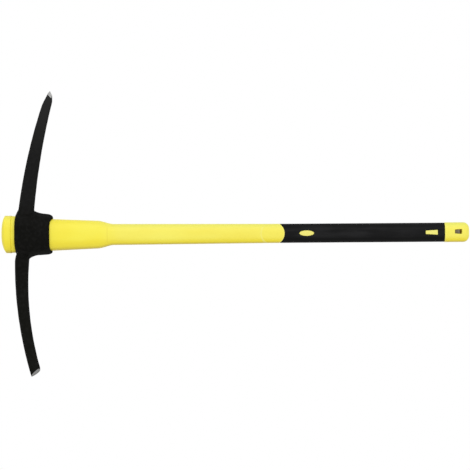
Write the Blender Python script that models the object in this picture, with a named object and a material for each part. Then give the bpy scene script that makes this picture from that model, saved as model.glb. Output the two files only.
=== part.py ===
"""Pickaxe: a forged head, with a point and a chisel edge, on a jacketed fibreglass handle.

The head's tapered eye slides on from the butt and jams under the flare at the handle's eye end.
X runs along the handle from the eye end to the butt, +Y is the side of the pick arm, and Z is the
tool's thickness as it lies on a cheek of its eye. The origin is the middle of the eye end's face.
Lengths are in metres and angles in degrees.
"""

import math
from collections import namedtuple

import bmesh
import bpy
from mathutils import Matrix, Vector

# Handle: its length, and the domed cap at its eye end
HANDLE_LENGTH = 0.900
END_FLAT_HALF_HEIGHT = 0.0120
END_FLAT_HALF_DEPTH = 0.0115
DOME_DEPTH = 0.0080
DOME_FULLNESS = 1.5
DOME_LEAN = 0.0009
CAP_LENGTH = 0.0188
CAP_HALF_HEIGHT = 0.0361
CAP_HALF_DEPTH = 0.0250
GROOVE_WIDTH = 0.0016
GROOVE_DEPTH = 0.0007
CAP_SHIFT = 0.0015

# Handle: the taper that wedges in the head's eye, the swell below it, and the shaft
TAPER_TOP_HALF_HEIGHT = 0.0356
TAPER_TOP_HALF_DEPTH = 0.0245
TAPER_LENGTH = 0.0820
TAPER_END_HALF_HEIGHT = 0.0303
TAPER_END_HALF_DEPTH = 0.0224
SWELL_LENGTH = 0.0773
SWELL_END_HALF_HEIGHT = 0.0271
SWELL_END_HALF_DEPTH = 0.0206
SWELL_BLEND_LENGTH = 0.0400
SHAFT_TOP_HALF_HEIGHT = 0.0203
SHAFT_TOP_HALF_DEPTH = 0.0165
SHAFT_END_HALF_HEIGHT = 0.0185
SHAFT_END_HALF_DEPTH = 0.0152
EYE_SQUARENESS = 2.4
SHAFT_SQUARENESS = 2.6

# Grip: a rubber sleeve in a recess of the jacket, with an oval and a trapezoid window on each face
GRIP_LENGTH = 0.3160
GRIP_HALF_HEIGHT = 0.0184
GRIP_HALF_DEPTH = 0.0156
GRIP_WALL = 0.0026
TONGUE_LENGTH = 0.0078
OVAL_FROM_FRONT = 0.0492
OVAL_LENGTH = 0.0292
OVAL_HEIGHT = 0.0117
TRAPEZOID_FROM_REAR = 0.0265
TRAPEZOID_LENGTH = 0.0252
TRAPEZOID_NARROW = 0.0072
TRAPEZOID_WIDE = 0.0114
WINDOW_CORNER = 0.0008

# Butt: the jacket's end beyond the grip, with a hole drafted from both faces to hang the tool by
BUTT_LENGTH = 0.0461
BUTT_HALF_HEIGHT = 0.0190
BUTT_HALF_DEPTH = 0.0155
BUTT_ROUND_LENGTH = 0.0115
BUTT_ROUND_INSET = 0.0120
HOLE_FROM_END = 0.0203
HOLE_LENGTH = 0.0138
HOLE_NARROW = 0.0076
HOLE_WIDE = 0.0095
HOLE_CORNER = 0.0012
HOLE_DRAFT = 0.0007

# Core: the pultruded fibreglass bar that the jacket is moulded round
CORE_RADIUS = 0.0100
CORE_TO_HOLE = 0.0240

# Fits: between moulded pieces, and between the head's eye and the handle's taper
SEAT_GAP = 0.0003
EYE_GAP = 0.0003

# Eye socket of the head, with a lip at its lower rim
HEAD_TOP_X = 0.0270
HEAD_TOP_CROWN = 0.0008
HEAD_TOP_CHAMFER = 0.0016
SOCKET_LENGTH = 0.0665
LIP_LENGTH = 0.0066
LIP_WALL = 0.0020
EAR_NARROWNESS = 7
TOP_END_WALL = 0.0038
TOP_CHEEK_WALL = 0.0073
LOWER_END_WALL = 0.0075
LOWER_CHEEK_WALL = 0.0062
END_BELLY = 0.0019
CHEEK_BELLY = 0.0016
CHEEK_FLAT_DEPTH = 0.0310
SOCKET_OFFSET = 0.0010

# Arms: each is a bar between two arcs, rising from a shoulder on the socket's end wall, with an ear
# of the socket's lip below it
Arm = namedtuple(
    "Arm",
    "side reach root_shift width outer_lean outer_radius inner_lean inner_radius "
    "root_depth end_depth depth_fullness end_squareness shoulder_height "
    "ear_length run_in_start run_in_end",
)
PICK_ARM = Arm(
    side=1,
    reach=0.2772,
    root_shift=0.0045,
    width=0.0300,
    outer_lean=7.3,
    outer_radius=1.079,
    inner_lean=5.2,
    inner_radius=1.318,
    root_depth=0.0142,
    end_depth=0.0076,
    depth_fullness=1.3,
    end_squareness=3.6,
    shoulder_height=0.0046,
    ear_length=0.0050,
    run_in_start=0.0,
    run_in_end=0.0080,
)
CHISEL_ARM = Arm(
    side=-1,
    reach=0.2735,
    root_shift=-0.0029,
    width=0.0274,
    outer_lean=-1.3,
    outer_radius=0.756,
    inner_lean=-5.0,
    inner_radius=0.585,
    root_depth=0.0138,
    end_depth=0.0041,
    depth_fullness=1.8,
    end_squareness=2.2,
    shoulder_height=0.0062,
    ear_length=0.0036,
    run_in_start=-0.0040,
    run_in_end=0.0100,
)
ARM_SQUARENESS = 3.6
ARM_TUCK = 0.0130
SHOULDER_LENGTH = 0.0200
FLARE_LENGTH = 0.0340
FLARE_DEPTH = 0.0095

# Point: forged planes draw the bar down, and ground planes meet at the tip
DRAWN_HALF_ANGLE = 13.4
DRAWN_TILT = 13.4
DRAWN_APEX_AHEAD = 0.0115
DRAWN_APEX_SHIFT = 0.0042
GROUND_HALF_ANGLE = 30.2
GROUND_TILT = 5.7
GROUND_FACE_TILT = 34.0
POINT_SHIFT = -0.0018
POINT_BLUNT = 0.0008

# Chisel: an edge skewed across the arm's end, bowed a little, and ground from both faces
EDGE_SKEW = 20.0
EDGE_BOW = 0.0016
OUTER_CORNER = 0.0028
INNER_CORNER = 0.0056
OUTER_CORNER_TURN = 75.0
INNER_CORNER_TURN = 55.0
EDGE_THICKNESS = 0.0010
EDGE_BEVEL = 39.0

# Facets
HANDLE_SEGMENTS = 48
SOCKET_SEGMENTS = 64
ARM_SEGMENTS = 32
CORE_SEGMENTS = 40
DOME_RINGS = 7
SWELL_RINGS = 5
BLEND_RINGS = 8
BUTT_RINGS = 5
WALL_RINGS = 12
LIP_RINGS = 5
FLARE_RINGS = 8
ARM_RINGS = 12
EDGE_PLANES = 7
CORNER_PLANES = 3
TONGUE_STEPS = 14
OVAL_STEPS = 28
CORNER_STEPS = 3
MARGIN = 0.010

Finish = namedtuple("Finish", "colour roughness metallic")
PAINTED_STEEL = Finish((0.010, 0.010, 0.010), 0.50, 0.0)
YELLOW_JACKET = Finish((0.93, 0.82, 0.09), 0.40, 0.0)
BLACK_RUBBER = Finish((0.014, 0.014, 0.015), 0.75, 0.0)
FIBREGLASS = Finish((0.62, 0.58, 0.38), 0.50, 0.0)

Section = namedtuple("Section", "x half_height half_depth squareness shift lean", defaults=[0.0, 0.0])


def clear_scene():
    """Remove every object that the file starts with."""
    for item in list(bpy.data.objects):
        bpy.data.objects.remove(item)


def make_material(name, finish):
    """A Principled material with the finish's colour, roughness and metallic value."""
    material = bpy.data.materials.new(name)
    material.use_nodes = True
    shader = material.node_tree.nodes["Principled BSDF"]
    shader.inputs["Base Color"].default_value = (*finish.colour, 1.0)
    shader.inputs["Roughness"].default_value = finish.roughness
    shader.inputs["Metallic"].default_value = finish.metallic
    return material


def add_object(name, bm, material=None, parent=None):
    """Turn a bmesh into an object of flat facets that face outwards, smooth on its round stretches."""
    bmesh.ops.triangulate(bm, faces=bm.faces)
    bmesh.ops.recalc_face_normals(bm, faces=bm.faces)
    if bm.calc_volume(signed=True) < 0:
        bmesh.ops.reverse_faces(bm, faces=bm.faces)
    mesh = bpy.data.meshes.new(name)
    bm.to_mesh(mesh)
    bm.free()
    mesh.shade_smooth()
    mesh.set_sharp_from_angle(angle=math.radians(30))
    if material is not None:
        mesh.materials.append(material)
    item = bpy.data.objects.new(name, mesh)
    bpy.context.scene.collection.objects.link(item)
    if parent is not None:
        item.parent = parent
        item.matrix_parent_inverse = Matrix.Translation(parent.location).inverted()
    return item


def add_shaper(name, bm):
    """A solid that is joined to or cut from others, and isn't a piece itself."""
    shaper = add_object(name, bm)
    shaper.hide_render = True
    shaper.display_type = "WIRE"
    return shaper


def combine(target, operation, shaper):
    """Join a shaper to the target, cut it away, or keep what the two share."""
    modifier = target.modifiers.new(f"{operation.lower()} {shaper.name}", "BOOLEAN")
    modifier.operation = operation
    modifier.solver = "EXACT"
    modifier.object = shaper


def add_body(name, location):
    """An empty that carries the pieces of one body, placed on the slide's axis."""
    body = bpy.data.objects.new(name, None)
    body.location = location
    bpy.context.scene.collection.objects.link(body)
    return body


def mix(start, end, share):
    """The value that lies a share of the way from start to end."""
    return start + (end - start) * share


def smooth_step(share):
    """An S-curve from 0 to 1, level at both ends."""
    return share * share * (3 - 2 * share)


def shares(count):
    """The shares 0 to 1 in a number of equal steps."""
    return [step / count for step in range(count + 1)]


def superellipse(angle, half_width, half_depth, squareness):
    """A point on an oval whose flanks flatten as its squareness rises above 2."""
    across = math.copysign(abs(math.cos(angle)) ** (2 / squareness), math.cos(angle))
    along = math.copysign(abs(math.sin(angle)) ** (2 / squareness), math.sin(angle))
    return half_width * across, half_depth * along


def tube(rings, segments, place, turn=0.0):
    """A closed tube with each corner put by place(ring, angle), turned by a share of a facet."""
    bm = bmesh.new()
    bmesh.ops.create_circle(bm, segments=segments, radius=1.0)
    facet_turn = Matrix.Rotation(math.tau / segments * turn, 3, "Z")
    bmesh.ops.rotate(bm, verts=bm.verts, matrix=facet_turn)
    edges = list(bm.edges)
    for _ in range(rings - 1):
        grown = bmesh.ops.extrude_edge_only(bm, edges=edges)["geom"]
        verts = [g for g in grown if isinstance(g, bmesh.types.BMVert)]
        bmesh.ops.translate(bm, verts=verts, vec=(0, 0, 1))
        edges = [g for g in grown if isinstance(g, bmesh.types.BMEdge) and g.is_boundary]
    bmesh.ops.holes_fill(bm, edges=[edge for edge in bm.edges if edge.is_boundary], sides=0)
    for vert in bm.verts:
        vert.co = place(round(vert.co.z), math.atan2(vert.co.y, vert.co.x))
    return bm


def oval_loft(sections, segments=HANDLE_SEGMENTS):
    """A closed loft through superelliptic sections along the handle."""

    def place(ring, angle):
        section = sections[ring]
        y, z = superellipse(angle, section.half_height, section.half_depth, section.squareness)
        lean = section.lean * y / section.half_height
        return Vector((section.x - lean, y + section.shift, z))

    return tube(len(sections), segments, place)


def prism(outline, low_z, high_z):
    """A flat outline of (x, y) points, extruded along Z."""
    bm = bmesh.new()
    face = bm.faces.new([bm.verts.new((x, y, low_z)) for x, y in outline])
    grown = bmesh.ops.extrude_face_region(bm, geom=[face])["geom"]
    top = [g for g in grown if isinstance(g, bmesh.types.BMVert)]
    bmesh.ops.translate(bm, verts=top, vec=(0, 0, high_z - low_z))
    return bm


def round_upright_edges(bm, radius):
    """Round the edges of a prism that run along Z."""
    upright = [edge for edge in bm.edges if abs(edge.verts[0].co.z - edge.verts[1].co.z) > MARGIN / 2]
    bmesh.ops.bevel(
        bm,
        geom=upright,
        offset=radius,
        segments=CORNER_STEPS,
        profile=0.5,
        affect="EDGES",
        material=-1,
    )


def cut_plane(bm, point, normal):
    """Cut away what lies beyond a plane, and close the cut."""
    geometry = bm.verts[:] + bm.edges[:] + bm.faces[:]
    cut = bmesh.ops.bisect_plane(
        bm, geom=geometry, dist=1e-7, plane_co=point, plane_no=normal, clear_outer=True
    )["geom_cut"]
    edges = [g for g in cut if isinstance(g, bmesh.types.BMEdge) and g.is_boundary]
    if edges:
        bmesh.ops.holes_fill(bm, edges=edges, sides=0)


# Handle


def taper_start_x():
    """Where the wedging taper starts, under the cap."""
    return CAP_LENGTH + GROOVE_WIDTH


def eye_taper(x, spare=0.0):
    """The handle's section on the wedging taper, grown all round, shifted less and less from the cap."""
    share = (x - taper_start_x()) / TAPER_LENGTH
    return Section(
        x,
        mix(TAPER_TOP_HALF_HEIGHT, TAPER_END_HALF_HEIGHT, share) + spare,
        mix(TAPER_TOP_HALF_DEPTH, TAPER_END_HALF_DEPTH, share) + spare,
        EYE_SQUARENESS,
        CAP_SHIFT * (1 - share),
    )


def dome_sections():
    """The dome of the eye end, from its flat middle over the core to the cap's wall."""
    sections = []
    for share in shares(DOME_RINGS):
        out, along = superellipse(math.radians(90 * share), 1.0, 1.0, DOME_FULLNESS)
        sections.append(
            Section(
                DOME_DEPTH * (1 - out),
                mix(END_FLAT_HALF_HEIGHT, CAP_HALF_HEIGHT, along),
                mix(END_FLAT_HALF_DEPTH, CAP_HALF_DEPTH, along),
                EYE_SQUARENESS,
                CAP_SHIFT * along,
                DOME_LEAN * along,
            )
        )
    return sections


def cap_sections():
    """The cap's wall and the groove below it."""
    floor_x = CAP_LENGTH + GROOVE_WIDTH / 2
    floor_half_height = TAPER_TOP_HALF_HEIGHT - GROOVE_DEPTH
    floor_half_depth = TAPER_TOP_HALF_DEPTH - GROOVE_DEPTH
    return [
        Section(CAP_LENGTH, CAP_HALF_HEIGHT, CAP_HALF_DEPTH, EYE_SQUARENESS, CAP_SHIFT),
        Section(floor_x, floor_half_height, floor_half_depth, EYE_SQUARENESS, CAP_SHIFT),
        eye_taper(taper_start_x()),
    ]


def swell_sections():
    """The swell, from the end of the taper to where it draws in."""
    taper_end_x = taper_start_x() + TAPER_LENGTH
    return [
        Section(
            taper_end_x + SWELL_LENGTH * share,
            mix(TAPER_END_HALF_HEIGHT, SWELL_END_HALF_HEIGHT, share),
            mix(TAPER_END_HALF_DEPTH, SWELL_END_HALF_DEPTH, share),
            mix(EYE_SQUARENESS, SHAFT_SQUARENESS, share),
        )
        for share in shares(SWELL_RINGS)
    ]


def blend_sections():
    """The S-curve from the swell down to the shaft."""
    swell_end_x = taper_start_x() + TAPER_LENGTH + SWELL_LENGTH
    return [
        Section(
            swell_end_x + SWELL_BLEND_LENGTH * share,
            mix(SWELL_END_HALF_HEIGHT, SHAFT_TOP_HALF_HEIGHT, smooth_step(share)),
            mix(SWELL_END_HALF_DEPTH, SHAFT_TOP_HALF_DEPTH, smooth_step(share)),
            SHAFT_SQUARENESS,
        )
        for share in shares(BLEND_RINGS)[1:]
    ]


def grip_end_x():
    """Where the grip's rear edge stands against the butt."""
    return HANDLE_LENGTH - BUTT_LENGTH


def grip_start_x():
    """Where the grip's front edge crosses the sides of the shaft."""
    return grip_end_x() - GRIP_LENGTH


def butt_sections():
    """The butt's wall and its rounded end."""
    sections = []
    for share in shares(BUTT_RINGS):
        angle = math.radians(90 * share)
        inset = BUTT_ROUND_INSET * (1 - math.cos(angle))
        sections.append(
            Section(
                HANDLE_LENGTH - BUTT_ROUND_LENGTH * (1 - math.sin(angle)),
                BUTT_HALF_HEIGHT - inset,
                BUTT_HALF_DEPTH - inset,
                SHAFT_SQUARENESS,
            )
        )
    return sections


def jacket_sections():
    """Every section of the jacket's outside, from the eye end to the butt."""
    shaft_end = Section(grip_start_x(), SHAFT_END_HALF_HEIGHT, SHAFT_END_HALF_DEPTH, SHAFT_SQUARENESS)
    butt_start = Section(grip_end_x(), BUTT_HALF_HEIGHT, BUTT_HALF_DEPTH, SHAFT_SQUARENESS)
    return [
        *dome_sections(),
        *cap_sections(),
        *swell_sections(),
        *blend_sections(),
        shaft_end,
        butt_start,
        *butt_sections(),
    ]


def neck_sections(spare=0.0):
    """The thinner neck under the grip, long enough to pass both ends of the recess."""
    half_height = GRIP_HALF_HEIGHT - GRIP_WALL + spare
    half_depth = GRIP_HALF_DEPTH - GRIP_WALL + spare
    return [
        Section(grip_start_x() - MARGIN, half_height, half_depth, SHAFT_SQUARENESS),
        Section(grip_end_x() + MARGIN, half_height, half_depth, SHAFT_SQUARENESS),
    ]


def recess_outline(inset=0.0):
    """The grip's outline seen along Z: square at the rear, hollowed by the jacket's tongue in front."""
    half_chord = SHAFT_END_HALF_HEIGHT
    radius = (half_chord**2 + TONGUE_LENGTH**2) / (2 * TONGUE_LENGTH)
    centre_x = grip_start_x() + TONGUE_LENGTH - radius
    side_y = GRIP_HALF_HEIGHT + MARGIN
    sweep = math.asin(min(1.0, (GRIP_HALF_HEIGHT + GRIP_WALL) / radius))
    arc = [
        (
            centre_x + (radius + inset) * math.cos(mix(sweep, -sweep, share)),
            (radius + inset) * math.sin(mix(sweep, -sweep, share)),
        )
        for share in shares(TONGUE_STEPS)
    ]
    rear_x = grip_end_x() - inset
    return [(rear_x, -side_y), (rear_x, side_y), (arc[0][0], side_y), *arc, (arc[-1][0], -side_y)]


def oval_window(spare=0.0):
    """The oval window's prism, grown by a spare width all round."""
    centre_x = grip_start_x() + OVAL_FROM_FRONT
    outline = []
    for step in range(OVAL_STEPS):
        angle = math.tau * step / OVAL_STEPS
        along = (OVAL_LENGTH / 2 + spare) * math.cos(angle)
        across = (OVAL_HEIGHT / 2 + spare) * math.sin(angle)
        outline.append((centre_x + along, across))
    return prism(outline, -GRIP_HALF_DEPTH - MARGIN, GRIP_HALF_DEPTH + MARGIN)


def trapezoid(centre_x, length, narrow, wide):
    """A trapezoid's corners, widening towards the butt."""
    front_x = centre_x - length / 2
    rear_x = centre_x + length / 2
    return [(front_x, -narrow / 2), (rear_x, -wide / 2), (rear_x, wide / 2), (front_x, narrow / 2)]


def trapezoid_window(spare=0.0):
    """The trapezoid window's prism, grown by a spare width all round."""
    outline = trapezoid(
        grip_end_x() - TRAPEZOID_FROM_REAR,
        TRAPEZOID_LENGTH + 2 * spare,
        TRAPEZOID_NARROW + 2 * spare,
        TRAPEZOID_WIDE + 2 * spare,
    )
    bm = prism(outline, -GRIP_HALF_DEPTH - MARGIN, GRIP_HALF_DEPTH + MARGIN)
    round_upright_edges(bm, WINDOW_CORNER + spare)
    return bm


def hole_x():
    """The middle of the hanging hole."""
    return HANDLE_LENGTH - HOLE_FROM_END


def hanging_hole():
    """The hole's core: two drafted halves that meet at the mould's parting plane."""
    height = BUTT_HALF_DEPTH + MARGIN
    draft = HOLE_DRAFT * height / BUTT_HALF_DEPTH
    outline = trapezoid(
        hole_x(), HOLE_LENGTH - 2 * HOLE_DRAFT, HOLE_NARROW - 2 * HOLE_DRAFT, HOLE_WIDE - 2 * HOLE_DRAFT
    )
    bm = prism(outline, 0.0, height)
    round_upright_edges(bm, HOLE_CORNER)
    parting = [face for face in bm.faces if face.calc_center_median().z < 1e-6]
    bmesh.ops.delete(bm, geom=parting, context="FACES_ONLY")
    mean_height = (HOLE_NARROW + HOLE_WIDE) / 2 - 2 * HOLE_DRAFT
    growth = (1 + 2 * draft / (HOLE_LENGTH - 2 * HOLE_DRAFT), 1 + 2 * draft / mean_height, 1.0)
    top = [vert for vert in bm.verts if vert.co.z > height / 2]
    bmesh.ops.scale(bm, verts=top, vec=growth, space=Matrix.Translation((-hole_x(), 0, 0)))
    halves = bm.verts[:] + bm.edges[:] + bm.faces[:]
    bmesh.ops.mirror(bm, geom=halves, axis="Z", merge_dist=1e-5)
    return bm


def core_bar(spare=0.0):
    """The core's bar, grown by a spare width round it and at its blind end."""
    radius = CORE_RADIUS + spare
    length = hole_x() - HOLE_LENGTH / 2 - CORE_TO_HOLE
    start = Section(-MARGIN if spare else 0.0, radius, radius, 2.0)
    end = Section(length + spare, radius, radius, 2.0)
    return oval_loft([start, end], CORE_SEGMENTS)


def build_jacket(body):
    """The yellow moulding: a loft with a recess for the grip, pads in its windows, a bore and a hole."""
    jacket = add_object(
        "handle_jacket", oval_loft(jacket_sections()), make_material("yellow_jacket", YELLOW_JACKET), body
    )
    half_depth = GRIP_HALF_DEPTH + MARGIN / 2
    recess = add_shaper("recess_shape", prism(recess_outline(), -half_depth, half_depth))
    combine(recess, "DIFFERENCE", add_shaper("neck_shape", oval_loft(neck_sections())))
    combine(recess, "DIFFERENCE", add_shaper("oval_pad_shape", oval_window()))
    combine(recess, "DIFFERENCE", add_shaper("trapezoid_pad_shape", trapezoid_window()))
    combine(jacket, "DIFFERENCE", recess)
    combine(jacket, "DIFFERENCE", add_shaper("core_bore_shape", core_bar(SEAT_GAP)))
    combine(jacket, "DIFFERENCE", add_shaper("hanging_hole_shape", hanging_hole()))
    return jacket


def build_core(body):
    """The fibreglass bar, flush with the eye end's face."""
    return add_object("fibreglass_core", core_bar(), make_material("fibreglass", FIBREGLASS), body)


def build_grip(body):
    """The rubber sleeve: its outside trimmed to the recess, hollow for the neck, with four windows."""
    outside = [
        Section(x, GRIP_HALF_HEIGHT, GRIP_HALF_DEPTH, SHAFT_SQUARENESS)
        for x in (grip_start_x() - MARGIN / 2, grip_end_x() + MARGIN / 2)
    ]
    grip = add_object("grip_sleeve", oval_loft(outside), make_material("black_rubber", BLACK_RUBBER), body)
    half_depth = GRIP_HALF_DEPTH + MARGIN / 2
    trim = add_shaper("grip_trim_shape", prism(recess_outline(SEAT_GAP), -half_depth, half_depth))
    combine(grip, "INTERSECT", trim)
    combine(grip, "DIFFERENCE", add_shaper("grip_bore_shape", oval_loft(neck_sections(SEAT_GAP))))
    combine(grip, "DIFFERENCE", add_shaper("oval_window_shape", oval_window(SEAT_GAP)))
    combine(grip, "DIFFERENCE", add_shaper("trapezoid_window_shape", trapezoid_window(SEAT_GAP)))
    return grip


# Head


def socket_section(x, wall_share=1.0, rim_wall=0.0):
    """The socket's outside at x: the eye plus its wall, thinned towards a rim's wall by the share."""
    share = (x - HEAD_TOP_X) / SOCKET_LENGTH
    belly = 4 * share * (1 - share)
    end_wall = mix(TOP_END_WALL, LOWER_END_WALL, share) + END_BELLY * belly
    cheek_wall = mix(TOP_CHEEK_WALL, LOWER_CHEEK_WALL, share) + CHEEK_BELLY * belly
    eye = eye_taper(x, EYE_GAP)
    return eye._replace(
        half_height=eye.half_height + mix(rim_wall, end_wall, wall_share),
        half_depth=eye.half_depth + mix(rim_wall, cheek_wall, wall_share),
    )


def socket_rings():
    """The socket's rings, each a section, its shares of the crown and the ears, and its offset along Y."""
    top_x = HEAD_TOP_X
    shallow = 1 - HEAD_TOP_CHAMFER / TOP_END_WALL
    rings = [
        (eye_taper(top_x, -LIP_WALL), 1.0, 0.0, 0.0),
        (socket_section(top_x, shallow), 1.0, 0.0, SOCKET_OFFSET),
        (socket_section(top_x + HEAD_TOP_CHAMFER), 1.0, 0.0, SOCKET_OFFSET),
    ]
    lip_start_x = top_x + SOCKET_LENGTH - LIP_LENGTH
    for share in shares(WALL_RINGS)[1:]:
        x = mix(top_x + HEAD_TOP_CHAMFER, lip_start_x, share)
        rings.append((socket_section(x), 1 - share, 0.0, SOCKET_OFFSET))
    for share in shares(LIP_RINGS)[1:]:
        angle = math.radians(90 * share)
        x = lip_start_x + LIP_LENGTH * math.sin(angle)
        section = socket_section(x, math.cos(angle), LIP_WALL)
        rings.append((section, 0.0, math.sin(angle), SOCKET_OFFSET * math.cos(angle)))
    end_x = top_x + SOCKET_LENGTH
    rings.append((eye_taper(end_x, -LIP_WALL), 0.0, 1.0, 0.0))
    return rings


def shoulder_rise(arm, x):
    """How far the socket's end wall reaches up an arm at x: most at the arm's inner edge."""
    inner_x = HEAD_TOP_X + arm.root_shift + arm.width
    if x < inner_x:
        return arm.shoulder_height * max(0.0, (x - HEAD_TOP_X) / (inner_x - HEAD_TOP_X)) ** 2
    return arm.shoulder_height * max(0.0, 1 - (x - inner_x) / SHOULDER_LENGTH) ** 2


def socket_shell():
    """The socket as a solid: flat cheeks, a shoulder to each arm, an ear at each end of its lip."""
    rings = socket_rings()

    def place(ring, angle):
        section, crown, ear, offset = rings[ring]
        arm = PICK_ARM if math.cos(angle) > 0 else CHISEL_ARM
        half_height = section.half_height + shoulder_rise(arm, section.x)
        y, z = superellipse(angle, half_height, section.half_depth, section.squareness)
        crown_rise = HEAD_TOP_CROWN * crown * math.sin(angle) ** 2
        ear_drop = arm.ear_length * ear * abs(math.cos(angle)) ** EAR_NARROWNESS
        z = max(-CHEEK_FLAT_DEPTH, min(CHEEK_FLAT_DEPTH, z))
        return Vector((section.x - crown_rise + ear_drop, y + section.shift + offset, z))

    return tube(len(rings), SOCKET_SEGMENTS, place, turn=0.5)


def arm_foot(arm):
    """How far from the handle's axis the socket's end wall stands, past the arm's shoulder."""
    foot_x = HEAD_TOP_X + arm.root_shift + arm.width + SHOULDER_LENGTH
    wall = socket_section(foot_x)
    return wall.half_height + arm.side * (wall.shift + SOCKET_OFFSET)


def arc_x(distance, root, root_x, lean, radius):
    """X at a distance from the axis of an arc that leaves its root with a lean towards the butt."""
    centre_x = root_x + radius * math.cos(math.radians(lean))
    centre_distance = root - radius * math.sin(math.radians(lean))
    return centre_x - math.sqrt(radius**2 - (distance - centre_distance) ** 2)


def outer_edge_x(arm, distance):
    """The arm's edge on the side of the cap, running into the socket's top near its foot."""
    foot = arm_foot(arm)
    root = foot + arm.shoulder_height
    edge_x = arc_x(distance, root, HEAD_TOP_X + arm.root_shift, arm.outer_lean, arm.outer_radius)
    run_in = arm.run_in_end - arm.run_in_start
    share = min(1.0, max(0.0, (distance - foot - arm.run_in_start) / run_in))
    return mix(HEAD_TOP_X + HEAD_TOP_CHAMFER / 2, edge_x, share)


def inner_edge_x(arm, distance):
    """The arm's edge on the side of the butt, which ends in a crisp corner on the socket's shoulder."""
    root = arm_foot(arm) + arm.shoulder_height
    root_x = HEAD_TOP_X + arm.root_shift + arm.width
    return arc_x(max(distance, root), root, root_x, arm.inner_lean, arm.inner_radius)


def arm_half_depth(arm, distance):
    """The arm's half depth: it thins towards its end and flares into the socket at its root."""
    foot = arm_foot(arm)
    share = max(0.0, (distance - foot) / (arm.reach - foot))
    bar = mix(arm.root_depth, arm.end_depth, share**arm.depth_fullness)
    flare_share = min(1.0, (distance - foot + ARM_TUCK) / FLARE_LENGTH)
    return bar + FLARE_DEPTH * (1 - flare_share) ** 2


def arm_bar(arm):
    """The arm before it is drawn or ground: a loft of rounded sections from inside the socket."""
    start = arm_foot(arm) - ARM_TUCK
    flare_end = start + FLARE_LENGTH
    distances = [mix(start, flare_end, share) for share in shares(FLARE_RINGS)]
    distances += [mix(flare_end, arm.reach + MARGIN / 2, share) for share in shares(ARM_RINGS)[1:]]

    def place(ring, angle):
        distance = distances[ring]
        outer_x = outer_edge_x(arm, distance) + max(0.0, arm_foot(arm) - distance) / 2
        inner_x = inner_edge_x(arm, distance)
        half_width = (inner_x - outer_x) / 2
        squareness = mix(ARM_SQUARENESS, arm.end_squareness, (distance - start) / (arm.reach - start))
        across, z = superellipse(angle, half_width, arm_half_depth(arm, distance), squareness)
        return Vector((outer_x + half_width + across, arm.side * distance, z))

    return tube(len(distances), ARM_SEGMENTS, place, turn=0.5)


def cut_pyramid(bm, apex, tilt, half_angle, face_tilt):
    """Cut four planes that meet at an apex: two edges and two faces, both tilted towards the butt."""
    half = math.radians(half_angle)
    for side in (-1, 1):
        lean = math.radians(tilt) - side * half
        cut_plane(bm, apex, Vector((side * math.cos(lean), -side * math.sin(lean), 0)))
        fall = Vector((math.sin(math.radians(face_tilt)), math.cos(math.radians(face_tilt)), 0))
        cut_plane(bm, apex, fall * math.sin(half) + Vector((0, 0, side * math.cos(half))))


def pick_arm():
    """The pick arm: the bar, drawn down by forged planes and ground to a blunted point."""
    bm = arm_bar(PICK_ARM)
    reach = PICK_ARM.reach
    centre_x = (outer_edge_x(PICK_ARM, reach) + inner_edge_x(PICK_ARM, reach)) / 2
    tip = Vector((centre_x + POINT_SHIFT, reach, 0))
    drawn_apex = tip + Vector((DRAWN_APEX_SHIFT, DRAWN_APEX_AHEAD, 0))
    cut_pyramid(bm, drawn_apex, DRAWN_TILT, DRAWN_HALF_ANGLE, DRAWN_TILT)
    ground_apex = tip + Vector((0, POINT_BLUNT / 2 / math.tan(math.radians(GROUND_HALF_ANGLE)), 0))
    cut_pyramid(bm, ground_apex, GROUND_TILT, GROUND_HALF_ANGLE, GROUND_FACE_TILT)
    cut_plane(bm, tip, Vector((0, 1, 0)))
    return bm


def edge_tangents(chord):
    """The tangents of the edge: angle, offset along its chord, offset outwards, and if it's ground."""
    radius = chord**2 / (8 * EDGE_BOW) + EDGE_BOW / 2
    corners = [(-1, OUTER_CORNER, OUTER_CORNER_TURN), (1, INNER_CORNER, INNER_CORNER_TURN)]
    sweeps = [
        side * math.asin((chord / 2 - corner) / (radius - corner)) for side, corner, turn in corners
    ]
    tangents = []
    for share in shares(EDGE_PLANES - 1):
        angle = mix(sweeps[0], sweeps[1], share)
        tangents.append((angle, radius * math.sin(angle), radius * math.cos(angle) - radius, True))
    for sweep, (side, corner, turn) in zip(sweeps, corners):
        corner_out = (radius - corner) * math.cos(sweep) - radius
        for share in shares(CORNER_PLANES)[1:]:
            angle = mix(sweep, side * math.radians(turn), share)
            along = side * (chord / 2 - corner) + corner * math.sin(angle)
            tangents.append((angle, along, corner_out + corner * math.cos(angle), False))
    return tangents


def chisel_arm():
    """The chisel arm: the bar, ended by a skewed and bowed edge that is ground from both faces."""
    bm = arm_bar(CHISEL_ARM)
    reach = CHISEL_ARM.reach
    outer_x = outer_edge_x(CHISEL_ARM, reach)
    end_width = inner_edge_x(CHISEL_ARM, reach) - outer_x
    root = arm_foot(CHISEL_ARM) + CHISEL_ARM.shoulder_height
    rise = math.radians(CHISEL_ARM.outer_lean) + (reach - root) / CHISEL_ARM.outer_radius
    slant = rise + math.radians(EDGE_SKEW)
    chord = end_width * math.cos(rise) / math.cos(math.radians(EDGE_SKEW))
    along = Vector((math.cos(slant), math.sin(slant), 0))
    outward = Vector((math.sin(slant), -math.cos(slant), 0))
    middle = Vector((outer_x, -reach, 0)) + along * chord / 2 + outward * EDGE_BOW
    bevel = math.radians(EDGE_BEVEL)
    for angle, shift, advance, ground in edge_tangents(chord):
        edge = middle + along * shift + outward * advance
        normal = outward * math.cos(angle) + along * math.sin(angle)
        cut_plane(bm, edge, normal)
        for side in (-1, 1) if ground else ():
            face_normal = normal * math.sin(bevel) + Vector((0, 0, side * math.cos(bevel)))
            cut_plane(bm, edge + Vector((0, 0, side * EDGE_THICKNESS / 2)), face_normal)
    return bm


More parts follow.
